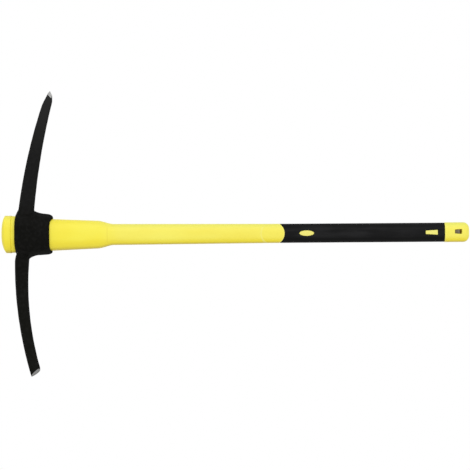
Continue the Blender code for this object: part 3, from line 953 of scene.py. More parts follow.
def stored(name: str, bm: Mesh) -> bpy.types.Mesh:
    """Store a mesh as data, and free it.

    Args:
        name: The data's name.
        bm: The mesh.

    Returns:
        The data.
    """
    mesh = bpy.data.meshes.new(name)
    bm.to_mesh(mesh)
    bm.free()
    return mesh


def placed(data: bpy.types.ID) -> bpy.types.Object:
    """Place data in the scene, as an object of the same name.

    Args:
        data: The mesh, lamp or camera.

    Returns:
        The object.
    """
    item = bpy.data.objects.new(data.name, data)
    bpy.context.scene.collection.objects.link(item)
    return item


def join(*parts: Mesh) -> Mesh:
    """Put several meshes in one, and free them.

    Args:
        parts: The meshes.

    Returns:
        One mesh that holds them all.
    """
    whole = bmesh.new()
    for part in parts:
        mesh = stored("loose", part)
        whole.from_mesh(mesh)
        bpy.data.meshes.remove(mesh)
    return whole


def mirrored(bm: Mesh) -> Mesh:
    """A copy of a mesh on the other side of the plane of the tool.

    Args:
        bm: The mesh, which stays as it is.

    Returns:
        The copy, facing outwards.
    """
    copy = bm.copy()
    bmesh.ops.scale(copy, verts=copy.verts, vec=(1, 1, -1))
    bmesh.ops.reverse_faces(copy, faces=copy.faces)
    return copy


class Cut(Enum):
    """How a tool solid changes a blank."""

    JOIN = "UNION"
    TAKE_AWAY = "DIFFERENCE"


def in_order(bm: Mesh, digits: int = 7) -> Mesh:
    """The same mesh, with its points and faces in an order that their places alone decide.

    Args:
        bm: The mesh, which is freed.
        digits: To how many digits of a metre places are told apart.

    Returns:
        The mesh that comes out the same in every run.
    """
    verts = sorted(bm.verts, key=lambda vert: tuple(round(value, digits) for value in vert.co))
    numbers = {vert: number for number, vert in enumerate(verts)}
    faces = []
    for face in bm.faces:
        ring = [numbers[vert] for vert in face.verts]
        first = ring.index(min(ring))
        faces.append(ring[first:] + ring[:first])
    ordered = bmesh.new()
    made = [ordered.verts.new([round(value, digits) for value in vert.co]) for vert in verts]
    for ring in sorted(faces):
        ordered.faces.new([made[number] for number in ring])
    bm.free()
    return ordered


def machined(blank: Mesh, cuts: Sequence[tuple[Cut, Mesh]], voxel: float = 0.0) -> Mesh:
    """A blank with tool solids joined or taken away, and optionally laid out in even faces again.

    Args:
        blank: The mesh to start from, which is freed.
        cuts: What each tool does, and its mesh, which is freed.
        voxel: The size of the even faces, or 0 to keep the faces.

    Returns:
        The new mesh.
    """
    work = placed(stored("blank", blank))
    tools = []
    for cut, tool_mesh in cuts:
        tool = placed(stored("tool", tool_mesh))
        modifier = work.modifiers.new(cut.value, "BOOLEAN")
        modifier.operation = cut.value
        modifier.solver = "EXACT"
        modifier.object = tool
        tools.append(tool)
    if voxel:
        modifier = work.modifiers.new("even", "REMESH")
        modifier.mode = "VOXEL"
        modifier.voxel_size = voxel
    depsgraph = bpy.context.evaluated_depsgraph_get()
    shaped = bpy.data.meshes.new_from_object(work.evaluated_get(depsgraph))
    result = bmesh.new()
    result.from_mesh(shaped)
    bpy.data.meshes.remove(shaped)
    for item in (work, *tools):
        mesh = item.data
        bpy.data.objects.remove(item)
        bpy.data.meshes.remove(mesh)
    return in_order(result) if voxel else result


@dataclass(frozen=True)
class Label:
    """What a piece is called, what it stands for and rides on, and where its edges stay crisp."""

    name: str
    node: str
    slot: str
    body: Body = Body.HANDLE
    sharp: float = 35.0


def add_piece(label: Label, bm: Mesh, finish: bpy.types.Material) -> bpy.types.Object:
    """Turn a mesh into a piece that rides on a body and stands for a CAD node.

    Args:
        label: Its names, its body and its crispness.
        bm: Its mesh, which is freed.
        finish: Its material.

    Returns:
        The piece.
    """
    open_edges = sum(1 for edge in bm.edges if not edge.is_manifold)
    mesh = stored(label.name, bm)
    mesh.shade_smooth()
    mesh.set_sharp_from_angle(angle=math.radians(label.sharp))
    mesh.materials.append(finish)
    piece = placed(mesh)
    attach(piece, label.body.value)
    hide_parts(label.node)
    triangles = sum(len(polygon.vertices) - 2 for polygon in mesh.polygons)
    report = "%s: %d triangles, %d open edges, on %s"
    LOG.info(report, label.name, triangles, open_edges, label.body.value)
    return piece


# Handle


@dataclass(frozen=True)
class HandlePlan:
    """The sizes that the handle's pieces and the head's eye share."""

    length: float = 900 * MM
    groove: float = 1.6 * MM
    taper_top: Oval = Oval(20.4 * MM, 35.6 * MM, 24.5 * MM, 2.4, shift=1.5 * MM)
    taper_end: Oval = Oval(102.4 * MM, 30.3 * MM, 22.4 * MM, 2.4)
    shaft_end: Oval = Oval(534.6 * MM, 18.5 * MM, 15.2 * MM, 2.6)
    butt_start: Oval = Oval(852.3 * MM, 19.0 * MM, 15.5 * MM, 2.6)
    sleeve: Oval = Oval(0.0, 18.4 * MM, 15.6 * MM, 2.6)
    sleeve_wall: float = 2.6 * MM
    seat_gap: float = 0.3 * MM
    tongue: float = 9.6 * MM
    bore: float = 10.3 * MM
    core_length: float = 848.8 * MM
    run_in: float = 20 * MM

    def taper(self, x: float, spare: float = 0.0) -> Oval:
        """The section of the wedging taper at x, grown by a spare width."""
        share = (x - self.taper_top.x) / (self.taper_end.x - self.taper_top.x)
        return self.taper_top.toward(self.taper_end, share).inset(-spare)

    def tongue_radius(self) -> float:
        """The radius of the tongue's outline."""
        chord = self.shaft_end.half_height
        return (chord**2 + self.tongue**2) / (2 * self.tongue)

    def tongue_x(self, y: float, grow: float = 0.0) -> float:
        """How far the tongue's outline, grown by a width, stands ahead of its root at y.

        Args:
            y: Where across the handle.
            grow: The width.

        Returns:
            The distance.
        """
        radius = self.tongue_radius()
        reach = max(0.0, (radius + grow) ** 2 - y * y)
        return math.sqrt(reach) + self.tongue - radius

    def front_shift(self, oval: Oval, y: float) -> float:
        """The shift along X of a section that follows the tongue."""
        return oval.curve * self.tongue_x(y) if oval.curve else 0.0

    def pad_surface(self, x: float) -> Oval:
        """The section of the yellow pads that show through the grip, at x."""
        share = (x - self.shaft_end.x) / (self.butt_start.x - self.shaft_end.x)
        return self.shaft_end.toward(self.butt_start, share)

    def windows(self) -> tuple[Outline, Outline]:
        """The outlines of the oval pad and of the trapezoid pad.

        Returns:
            The outlines, from front to rear.
        """
        oval = Outline.ellipse(centre_x=586.6 * MM, length=28.2 * MM, height=10.6 * MM, steps=56)
        trapezoid = Outline.trapezoid(
            centre_x=826.8 * MM,
            length=23.1 * MM,
            narrow=6.6 * MM,
            wide=9.4 * MM,
            corner=0.8 * MM,
            steps=5,
        )
        return oval, trapezoid


@dataclass
class Jacket:
    """The yellow moulding, from its domed cap to its butt."""

    plan: HandlePlan
    label: Label = Label("jacket", "handle_jacket", "yellow_jacket")
    segments: int = 144
    end_flat: Oval = Oval(0.0, 12.0 * MM, 11.5 * MM, 2.4)
    cap: Oval = Oval(18.8 * MM, 36.1 * MM, 25.0 * MM, 2.4, shift=1.5 * MM)
    face: float = 0.03 * MM
    bore_start: float = 0.5 * MM
    bore_round: float = 0.4 * MM
    bore_rim: float = 1.0 * MM
    dome_depth: float = 8.0 * MM
    dome_fullness: float = 1.6
    dome_lean: float = 1.3 * MM
    cap_edge: float = 0.7 * MM
    groove_start: float = 0.1 * MM
    groove_depth: float = 0.7 * MM
    swell_end: Oval = Oval(183.0 * MM, 26.9 * MM, 20.5 * MM, 2.6)
    shaft_top: Oval = Oval(216.2 * MM, 20.3 * MM, 16.5 * MM, 2.6)
    edge: float = 0.55 * MM
    pad_edge: float = 0.5 * MM
    pad_root: float = 2.0 * MM
    butt_round: float = 11.5 * MM
    butt_inset: float = 12.0 * MM
    hole_x: float = 878.2 * MM
    hole_y: float = 1.2 * MM
    hole_length: float = 13.8 * MM
    hole_narrow: float = 7.6 * MM
    hole_wide: float = 9.5 * MM
    hole_corner: float = 1.5 * MM
    hole_edge: float = 0.6 * MM
    hole_draft: float = 1.2 * MM
    hole_lean: float = 1.8 * MM

    def cap_rings(self) -> list[Oval]:
        """The core's bore, the end's flat middle, the dome, the cap's wall and its lower edge.

        Returns:
            Its sections, from the bore outwards and down.
        """
        plan = self.plan
        rings = [
            Oval(plan.core_length + plan.seat_gap, plan.bore, plan.bore),
            Oval(self.bore_start, plan.bore, plan.bore),
            Oval(self.face, plan.bore, plan.bore).inset(-self.bore_round),
            Oval(self.face, plan.bore, plan.bore, 2.05).inset(-self.bore_rim),
        ]
        for share in shares(16):
            out, along = superellipse(math.radians(90 * share), 1.0, 1.0, self.dome_fullness)
            rings.append(
                Oval(
                    self.face + self.dome_depth * (1 - out),
                    mix(self.end_flat.half_height, self.cap.half_height, along),
                    mix(self.end_flat.half_depth, self.cap.half_depth, along),
                    self.cap.squareness,
                    0.0,
                    self.cap.shift * along,
                    self.dome_lean * along,
                )
            )
        for back, depth in quarter(self.cap_edge, 4):
            rings.append(self.cap.at(self.cap.x - back).inset(depth))
        return rings

    def groove_rings(self) -> list[Oval]:
        """The rounded groove below the cap.

        Returns:
            Its sections, from the cap on.
        """
        plan = self.plan
        rings = []
        for share in shares(6):
            angle = math.pi * share
            length = plan.groove - self.groove_start
            x = self.cap.x + self.groove_start + length * (1 - math.cos(angle)) / 2
            depth = self.groove_depth * math.sin(angle)
            rings.append(plan.taper(x).inset(depth))
        return rings

    def swell_rings(self) -> list[Oval]:
        """The wedging taper, the swell below the head and the curve down to the shaft.

        Returns:
            Their sections, from the groove on.
        """
        plan = self.plan
        taper = [mix(plan.taper_top.x, plan.taper_end.x, share) for share in shares(10)[1:]]
        rings = [plan.taper(x) for x in taper]
        rings += [plan.taper_end.toward(self.swell_end, share) for share in shares(10)[1:]]
        for share in shares(20)[1:]:
            x = mix(self.swell_end.x, self.shaft_top.x, share)
            rings.append(self.swell_end.toward(self.shaft_top, smooth_step(share)).at(x))
        return rings

    def shaft_rings(self) -> list[Oval]:
        """The shaft, and the tongue that ends it at the grip.

        Returns:
            Their sections, from the swell on.
        """
        end = self.plan.shaft_end
        start = end.x - self.plan.run_in
        rings = []
        for share in shares(14)[1:-1]:
            rings.append(self.shaft_top.toward(end, share).at(mix(self.shaft_top.x, start, share)))
        for share in shares(10):
            rings.append(end.at(mix(start, end.x - self.edge, share), smooth_step(share)))
        for back, depth in quarter(self.edge, 4)[1:]:
            rings.append(end.at(end.x - back, 1.0).inset(depth))
        return rings

    def neck_rings(self) -> list[Oval]:
        """The neck under the grip, and the butt's edge behind it.

        Returns:
            Their sections, from the shaft on.
        """
        plan = self.plan
        neck = plan.sleeve.inset(plan.sleeve_wall)
        butt = plan.butt_start
        front = plan.shaft_end.x
        rings = [neck.at(front, 1.0), neck.at(front + plan.run_in), neck.at(butt.x)]
        for depth, ahead in quarter(self.edge, 4):
            rings.append(butt.at(butt.x + ahead).inset(depth))
        return rings

    def butt_rings(self) -> list[Oval]:
        """The butt's wall and its rounded end.

        Returns:
            Their sections, from the grip on.
        """
        butt = self.plan.butt_start
        start = self.plan.length - self.butt_round
        rings = [butt.at(mix(butt.x, start, share)) for share in (0.2, 0.4, 0.6, 0.8)]
        for share in shares(10):
            angle = math.radians(90 * share)
            x = start + self.butt_round * math.sin(angle)
            rings.append(butt.at(x).inset(self.butt_inset * (1 - math.cos(angle))))
        return rings

    def pad(self, outline: Outline) -> Mesh:
        """A pad that stands on the neck, with a rounded rim.

        Args:
            outline: The pad's outline.

        Returns:
            The pad on the side of the camera.
        """
        sleeve = self.plan.sleeve
        edge = self.pad_edge
        levels = [Level(0.0, sleeve.half_depth - self.plan.sleeve_wall - self.pad_root, 0)]
        levels += [Level(-depth, -drop) for drop, depth in quarter(edge, 4)]
        levels += [Level(-edge, 0.0, spread=spread) for spread in (0.7, 0.35, 0.02)]
        return outline_loft(outline, self.plan.pad_surface(outline.middle().x), levels)

    def hanging_hole(self) -> Mesh:
        """The hole through the butt, drafted from both faces and rounded at its mouths.

        Returns:
            The solid to take away.
        """
        outline = Outline.trapezoid(
            self.hole_x, self.hole_length, self.hole_narrow, self.hole_wide, self.hole_corner, 5
        )
        edge = self.hole_edge
        mouth = [(edge + FLARE, CLEAR), *((grow, -drop) for grow, drop in quarter(edge, 4))]
        shift = (0.0, self.hole_y)
        levels = [Level(grow, -rise, -1, shift=shift) for grow, rise in mouth]
        levels.append(Level(-self.hole_draft, 0.0, 0, shift=(-self.hole_lean, self.hole_y)))
        levels += [Level(grow, rise, shift=shift) for grow, rise in reversed(mouth)]
        return outline_loft(outline, self.plan.butt_start, levels)

    def build(self) -> bpy.types.Object:
        """Build the moulding and dress it.

        Returns:
            The piece.
        """
        rings = [
            *self.cap_rings(),
            *self.groove_rings(),
            *self.swell_rings(),
            *self.shaft_rings(),
            *self.neck_rings(),
            *self.butt_rings(),
        ]
        body = oval_loft(rings, self.segments, self.plan.front_shift)
        pads = [self.pad(outline) for outline in self.plan.windows()]
        pads += [mirrored(pad) for pad in pads]
        cuts = [(Cut.JOIN, join(*pads)), (Cut.TAKE_AWAY, self.hanging_hole())]
        solid = machined(body, cuts)
        solid.normal_update()
        # The normal's Y, which the yellow's material uses for painted light and painted shade.
        side_layer = solid.verts.layers.float.new("side")
        for vert in solid.verts:
            vert[side_layer] = vert.normal.y
        return add_piece(self.label, solid, MouldedYellow(self.plan).make())


@dataclass
class Core:
    """The fibreglass bar, which shows only as a disc in the eye end."""

    plan: HandlePlan
    label: Label = Label("core_bar", "fibreglass_core", "fibreglass", sharp=30.0)
    segments: int = 64
    radius: float = 10.0 * MM
    chamfer: float = 0.3 * MM
    face: float = 0.05 * MM

    def build(self) -> bpy.types.Object:
        """Build the bar and dress it.

        Returns:
            The piece.
        """
        length = self.plan.core_length
        inner = self.radius - self.chamfer
        rings = [
            Oval(self.face, inner * 0.5, inner * 0.5),
            Oval(self.face, inner, inner),
            Oval(self.chamfer, self.radius, self.radius),
            Oval(length - self.chamfer, self.radius, self.radius),
            Oval(length, inner, inner),
        ]
        bar = oval_loft(rings, self.segments, no_shift)
        return add_piece(self.label, bar, SawnFibreglass().make())


@dataclass
class Grip:
    """The rubber sleeve, with a hollowed front edge and a window over each yellow pad."""

    plan: HandlePlan
    label: Label = Label("grip", "grip_sleeve", "black_rubber")
    segments: int = 144
    lip: float = 0.9 * MM
    mouth: float = 0.6 * MM
    overcut: float = 1.5 * MM

    def rings(self) -> list[Oval]:
        """The outside from front to rear, then the bore back to the front.

        Returns:
            The sections of a closed round.
        """
        plan = self.plan
        front = plan.shaft_end.x + plan.seat_gap
        rear = plan.butt_start.x - plan.seat_gap
        settled = front + plan.run_in
        rings = [
            plan.sleeve.at(front + back, 1.0).inset(depth)
            for back, depth in reversed(quarter(self.lip, 6))
        ]
        for share in shares(10)[1:]:
            x = mix(front + self.lip, settled, share)
            rings.append(plan.sleeve.at(x, 1 - smooth_step(share)))
        for share in shares(40)[1:]:
            rings.append(plan.sleeve.at(mix(settled, rear - self.lip, share)))
        for back, depth in quarter(self.lip, 6)[1:]:
            rings.append(plan.sleeve.at(rear - back).inset(depth))
        bore = plan.sleeve.inset(plan.sleeve_wall - plan.seat_gap)
        rings += [bore.at(rear), bore.at(settled), bore.at(front, 1.0)]
        return rings

    def window(self, outline: Outline) -> Mesh:
        """What a window takes away, with a rounded mouth.

        Args:
            outline: The outline of the pad that shows in it.

        Returns:
            The solid on the side of the camera.
        """
        gap = self.plan.seat_gap
        sleeve = self.plan.sleeve
        levels = [Level(gap, sleeve.half_depth - self.plan.sleeve_wall - self.overcut, 0)]
        levels += [Level(gap + out, -drop) for drop, out in quarter(self.mouth, 4)]
        levels.append(Level(gap + self.mouth + FLARE, CLEAR))
        return outline_loft(outline, sleeve, levels)

    def build(self) -> bpy.types.Object:
        """Build the sleeve and dress it.

        Returns:
            The piece.
        """
        sleeve = oval_loft(self.rings(), self.segments, self.plan.front_shift, looped=True)
        windows = [self.window(outline) for outline in self.plan.windows()]
        windows += [mirrored(window) for window in windows]
        solid = machined(sleeve, [(Cut.TAKE_AWAY, join(*windows))])
        return add_piece(self.label, solid, GripRubber().make())


# Head


@dataclass(frozen=True)
class ArmPlan:
    """An arm: a bar between two arcs that rises from a shoulder on the socket's end wall."""

    side: Side
    reach: float
    root_shift: float
    width: float
    outer_lean: float
    outer_radius: float
    inner_lean: float
    inner_radius: float
    root_depth: float
    end_depth: float
    depth_fullness: float
    end_squareness: float
    shoulder_height: float
    ear_length: float
    ear_narrowness: float
    run_in_start: float
    run_in_end: float


PICK_ARM = ArmPlan(
    side=Side.PICK,
    reach=277.2 * MM,
    root_shift=4.5 * MM,
    width=30.0 * MM,
    outer_lean=7.3,
    outer_radius=1.079,
    inner_lean=5.2,
    inner_radius=1.318,
    root_depth=14.2 * MM,
    end_depth=7.6 * MM,
    depth_fullness=1.3,
    end_squareness=3.6,
    shoulder_height=4.6 * MM,
    ear_length=5.0 * MM,
    ear_narrowness=5.5,
    run_in_start=0.0,
    run_in_end=8.0 * MM,
)
CHISEL_ARM = ArmPlan(
    side=Side.CHISEL,
    reach=273.5 * MM,
    root_shift=-2.6 * MM,
    width=27.4 * MM,
    outer_lean=-1.3,
    outer_radius=0.756,
    inner_lean=-5.0,
    inner_radius=0.585,
    root_depth=13.8 * MM,
    end_depth=4.1 * MM,
    depth_fullness=1.8,
    end_squareness=2.2,
    shoulder_height=6.9 * MM,
    ear_length=3.6 * MM,
    ear_narrowness=9.0,
    run_in_start=-8.0 * MM,
    run_in_end=10.0 * MM,
)


@dataclass(frozen=True)
class Plane:
    """A cutting plane: what lies beyond it goes."""

    point: Vector
    normal: Vector

    def gap(self, place: Vector) -> float:
        """How far a place lies beyond the plane, less than 0 if it is kept."""
        return (place - self.point).dot(self.normal)


@dataclass
class Socket:
    """The eye socket, with flat cheeks, a lip, and a shoulder and an ear for each arm."""

    plan: HandlePlan
    top_x: float = 27.0 * MM
    crown: float = 0.8 * MM
    chamfer: float = 1.6 * MM
    length: float = 66.5 * MM
    lip_length: float = 6.6 * MM
    lip_wall: float = 2.0 * MM
    top_end_wall: float = 3.8 * MM
    top_cheek_wall: float = 7.3 * MM
    lower_end_wall: float = 7.5 * MM
    lower_cheek_wall: float = 6.2 * MM
    end_belly: float = 1.9 * MM
    cheek_belly: float = 1.6 * MM
    cheek_flat: float = 31.0 * MM
    offset: float = 1.0 * MM
    eye_gap: float = 0.3 * MM
    shoulder_length: float = 20.0 * MM
    spare: float = 10 * MM
    segments: int = 128

    def section(self, x: float, wall_share: float = 1.0, rim_wall: float = 0.0) -> Oval:
        """The socket's outside at x.

        Args:
            x: Where.
            wall_share: How much of the full wall is left.
            rim_wall: The wall that it thins towards.

        Returns:
            The section.
        """
        share = (x - self.top_x) / self.length
        belly = 4 * share * (1 - share)
        end_wall = mix(self.top_end_wall, self.lower_end_wall, share)
        end_wall += self.end_belly * belly
        cheek_wall = mix(self.top_cheek_wall, self.lower_cheek_wall, share)
        cheek_wall += self.cheek_belly * belly
        eye = self.plan.taper(x, self.eye_gap)
        return Oval(
            x,
            eye.half_height + mix(rim_wall, end_wall, wall_share),
            eye.half_depth + mix(rim_wall, cheek_wall, wall_share),
            eye.squareness,
            0.0,
            eye.shift,
        )

    def lay_rings(self) -> list[tuple[Oval, float, float, float]]:
        """The rings, each a section, its shares of the crown and the ears, and its offset in Y.

        Returns:
            The rings, from the cap's side on.
        """
        top_x = self.top_x
        shallow = 1 - self.chamfer / self.top_end_wall
        rings = [
            (self.plan.taper(top_x, -self.lip_wall), 1.0, 0.0, 0.0),
            (self.section(top_x, shallow), 1.0, 0.0, self.offset),
            (self.section(top_x + self.chamfer), 1.0, 0.0, self.offset),
        ]
        lip_x = top_x + self.length - self.lip_length
        for share in shares(24)[1:]:
            x = mix(top_x + self.chamfer, lip_x, share)
            rings.append((self.section(x), 1 - share, 0.0, self.offset))
        for share in shares(8)[1:]:
            angle = math.radians(90 * share)
            x = lip_x + self.lip_length * math.sin(angle)
            section = self.section(x, math.cos(angle), self.lip_wall)
            rings.append((section, 0.0, math.sin(angle), self.offset * math.cos(angle)))
        rings.append((self.plan.taper(top_x + self.length, -self.lip_wall), 0.0, 1.0, 0.0))
        return rings

    def rise(self, arm: ArmPlan, x: float) -> float:
        """How far the end wall reaches up an arm at x.

        Args:
            arm: The arm.
            x: Where along the handle.

        Returns:
            The height above the plain wall.
        """
        inner_x = self.top_x + arm.root_shift + arm.width
        if x < inner_x:
            share = max(0.0, (x - self.top_x) / (inner_x - self.top_x))
        else:
            share = max(0.0, 1 - (x - inner_x) / self.shoulder_length)
        return arm.shoulder_height * share**2

    def build(self) -> Mesh:
        """The socket as a solid, before its eye is punched.

        Returns:
            Its mesh.
        """
        rings = self.lay_rings()

        def place(ring: int, step: int) -> Vector:
            """A point of the socket, by its ring and its number there.

            Args:
                ring: The ring's number.
                step: The point's number in the ring.

            Returns:
                Its place.
            """
            angle = math.tau * (step + 0.5) / self.segments
            section, crown, ear, offset = rings[ring]
            arm = PICK_ARM if math.cos(angle) > 0 else CHISEL_ARM
            half_height = section.half_height + self.rise(arm, section.x)
            y, z = superellipse(angle, half_height, section.half_depth, section.squareness)
            up = self.crown * crown * math.sin(angle) ** 2
            down = arm.ear_length * ear * abs(math.cos(angle)) ** arm.ear_narrowness
            z = max(-self.cheek_flat, min(self.cheek_flat, z))
            return Vector((section.x - up + down, y + section.shift + offset, z))

        return loft(len(rings), self.segments, place)

    def eye(self) -> Mesh:
        """The tapered eye that is punched through it."""
        ends = [self.top_x - self.spare, self.top_x + self.length + 2 * self.spare]
        return oval_loft([self.plan.taper(x, self.eye_gap) for x in ends], self.segments, no_shift)


@dataclass
class Head:
    """The forging: a socket and two arms, drawn and ground to a point and to a skewed edge."""

    plan: HandlePlan
    label: Label = Label("forged_head", "pick_head", "painted_steel", Body.HEAD, 16.0)
    squareness: float = 3.6
    tuck: float = 13.0 * MM
    flare_length: float = 34.0 * MM
    flare_depth: float = 9.5 * MM
    spare_end: float = 5.0 * MM
    arm_segments: int = 96
    drawn_half_angle: float = 13.4
    drawn_tilt: float = 13.4
    drawn_ahead: float = 11.5 * MM
    drawn_shift: float = 4.2 * MM
    ground_half_angle: float = 30.2
    ground_tilt: float = 5.7
    ground_face_tilt: float = 34.0
    point_shift: float = -1.8 * MM
    point_blunt: float = 0.8 * MM
    edge_skew: float = 20.0
    edge_bow: float = 1.6 * MM
    outer_corner: float = 2.8 * MM
    inner_corner: float = 5.6 * MM
    outer_corner_turn: float = 75.0
    inner_corner_turn: float = 55.0
    edge_thickness: float = 1.0 * MM
    edge_bevel: float = 39.0
    voxel: float = 0.95 * MM
    softening: int = 7
    dent: float = 0.30 * MM
    dent_size: float = 15 * MM
    small_dent: float = 0.18
    small_dent_size: float = 5.25 * MM
    small_dent_place: tuple[float, float, float] = (7.3, 1.9, 4.1)
    eye_spare: float = 1.6 * MM
    ridge_unit: float = 0.10 * MM
    drawn_from: float = 120 * MM
    point_from: float = 240 * MM
    edge_from: float = 230 * MM
    marked_ahead: float = 5 * MM
    unground: float = -9.0
    block_far: float = 320 * MM
    block_half_width: float = 70 * MM
    block_spare: float = 10 * MM

    def __post_init__(self) -> None:
        """Lay out the socket that the arms rise from."""
        self.socket = Socket(self.plan)

    def foot(self, arm: ArmPlan) -> float:
        """How far from the axis the socket's end wall stands, past an arm's shoulder.

        Args:
            arm: The arm.

        Returns:
            The distance.
        """
        socket = self.socket
        foot_x = socket.top_x + arm.root_shift + arm.width + socket.shoulder_length
        wall = socket.section(foot_x)
        return wall.half_height + arm.side.value * (wall.shift + socket.offset)

    def root(self, arm: ArmPlan) -> float:
        """How far from the axis an arm leaves its shoulder."""
        return self.foot(arm) + arm.shoulder_height

    @staticmethod
    def arc_x(distance: float, root: float, root_x: float, lean: float, radius: float) -> float:
        """X of an arc that leaves its root with a lean towards the butt.

        Args:
            distance: How far from the axis.
            root: How far from the axis the arc starts.
            root_x: X where it starts.
            lean: Its lean there.
            radius: Its radius.

        Returns:
            X of the arc.
        """
        centre_x = root_x + radius * math.cos(math.radians(lean))
        centre_distance = root - radius * math.sin(math.radians(lean))
        return centre_x - math.sqrt(radius**2 - (distance - centre_distance) ** 2)

    def outer_x(self, arm: ArmPlan, distance: float) -> float:
        """X of an arm's edge on the side of the cap.

        Args:
            arm: The arm.
            distance: How far from the axis.

        Returns:
            X of the edge.
        """
        foot = self.foot(arm)
        root_x = self.socket.top_x + arm.root_shift
        edge_x = self.arc_x(distance, self.root(arm), root_x, arm.outer_lean, arm.outer_radius)
        run_in = arm.run_in_end - arm.run_in_start
        share = min(1.0, max(0.0, (distance - foot - arm.run_in_start) / run_in))
        return mix(self.socket.top_x + self.socket.chamfer / 2, edge_x, share)

    def inner_x(self, arm: ArmPlan, distance: float) -> float:
        """X of an arm's edge on the side of the butt.

        Args:
            arm: The arm.
            distance: How far from the axis.

        Returns:
            X of the edge.
        """
        root = self.root(arm)
        root_x = self.socket.top_x + arm.root_shift + arm.width
        return self.arc_x(max(distance, root), root, root_x, arm.inner_lean, arm.inner_radius)

    def half_depth(self, arm: ArmPlan, distance: float) -> float:
        """An arm's half depth, which thins towards its end and flares at its root.

        Args:
            arm: The arm.
            distance: How far from the axis.

        Returns:
            The half depth.
        """
        foot = self.foot(arm)
        share = max(0.0, (distance - foot) / (arm.reach - foot))
        bar = mix(arm.root_depth, arm.end_depth, share**arm.depth_fullness)
        flare = min(1.0, (distance - foot + self.tuck) / self.flare_length)
        return bar + self.flare_depth * (1 - flare) ** 2

    def bar(self, arm: ArmPlan) -> Mesh:
        """An arm before it is drawn or ground, a little longer than it will be.

        Args:
            arm: The arm.

        Returns:
            Its mesh.
        """
        foot = self.foot(arm)
        start = foot - self.tuck
        flare_end = start + self.flare_length
        distances = [mix(start, flare_end, share) for share in shares(16)]
        distances += [mix(flare_end, arm.reach + self.spare_end, share) for share in shares(36)[1:]]

        def place(ring: int, step: int) -> Vector:
            """A point of the bar, by its ring and its number there.

            Args:
                ring: The ring's number.
                step: The point's number in the ring.

            Returns:
                Its place.
            """
            angle = math.tau * (step + 0.5) / self.arm_segments
            distance = distances[ring]
            outer = self.outer_x(arm, distance) + max(0.0, foot - distance) / 2
            half_width = (self.inner_x(arm, distance) - outer) / 2
            depth = self.half_depth(arm, distance)
            share = (distance - start) / (arm.reach - start)
            squareness = mix(self.squareness, arm.end_squareness, share)
            across, z = superellipse(angle, half_width, depth, squareness)
            return Vector((outer + half_width + across, arm.side.value * distance, z))

        return loft(len(distances), self.arm_segments, place)

    @staticmethod
    def pyramid(apex: Vector, tilt: float, half_angle: float, face_tilt: float) -> list[Plane]:
        """Four planes that meet at an apex on the pick's side.

        Args:
            apex: Where they meet.
            tilt: The tilt towards the butt of the axis between the two edges.
            half_angle: The angle between an axis and its planes.
            face_tilt: The tilt towards the butt of the axis between the two faces.

        Returns:
            The planes.
        """
        axis = math.radians(tilt)
        half = math.radians(half_angle)
        fall = Vector((math.sin(math.radians(face_tilt)), math.cos(math.radians(face_tilt)), 0))
        slope = fall * math.sin(half)
        planes = []
        for side in (-1, 1):
            lean = axis - side * half
            planes.append(Plane(apex, Vector((side * math.cos(lean), -side * math.sin(lean), 0))))
            planes.append(Plane(apex, slope + Vector((0, 0, side * math.cos(half)))))
        return planes

    def tip(self) -> Vector:
        """The middle of the blunted point.

        Returns:
            The place.
        """
        reach = PICK_ARM.reach
        centre_x = (self.outer_x(PICK_ARM, reach) + self.inner_x(PICK_ARM, reach)) / 2
        return Vector((centre_x + self.point_shift, reach, 0))

    def drawn_planes(self) -> list[Plane]:
        """The forged planes that draw the pick arm down."""
        apex = self.tip() + Vector((self.drawn_shift, self.drawn_ahead, 0))
        return self.pyramid(apex, self.drawn_tilt, self.drawn_half_angle, self.drawn_tilt)

    def point_planes(self) -> list[Plane]:
        """The ground planes of the point.

        Returns:
            The planes: four faces, and the one that blunts them.
        """
        ahead = self.point_blunt / 2 / math.tan(math.radians(self.ground_half_angle))
        apex = self.tip() + Vector((0, ahead, 0))
        planes = self.pyramid(apex, self.ground_tilt, self.ground_half_angle, self.ground_face_tilt)
        return [*planes, Plane(self.tip(), Vector((0, 1, 0)))]

    def edge_tangents(self, chord: float) -> list[tuple[float, float, float, bool]]:
        """The tangents of the chisel edge's outline.

        Args:
            chord: The edge's length from corner to corner.

        Returns:
            For each, its angle, its offsets along the chord and outwards, and if it is ground.
        """
        radius = chord**2 / (8 * self.edge_bow) + self.edge_bow / 2
        corners = (
            (-1, self.outer_corner, self.outer_corner_turn),
            (1, self.inner_corner, self.inner_corner_turn),
        )
        sweeps = []
        for side, corner, _ in corners:
            sweeps.append(side * math.asin((chord / 2 - corner) / (radius - corner)))
        tangents = []
        for share in shares(12):
            angle = mix(sweeps[0], sweeps[1], share)
            out = radius * math.cos(angle) - radius
            tangents.append((angle, radius * math.sin(angle), out, True))
        for sweep, (side, corner, turn) in zip(sweeps, corners):
            corner_out = (radius - corner) * math.cos(sweep) - radius
            for share in shares(5)[1:]:
                angle = mix(sweep, side * math.radians(turn), share)
                along = side * (chord / 2 - corner) + corner * math.sin(angle)
                tangents.append((angle, along, corner_out + corner * math.cos(angle), False))
        return tangents

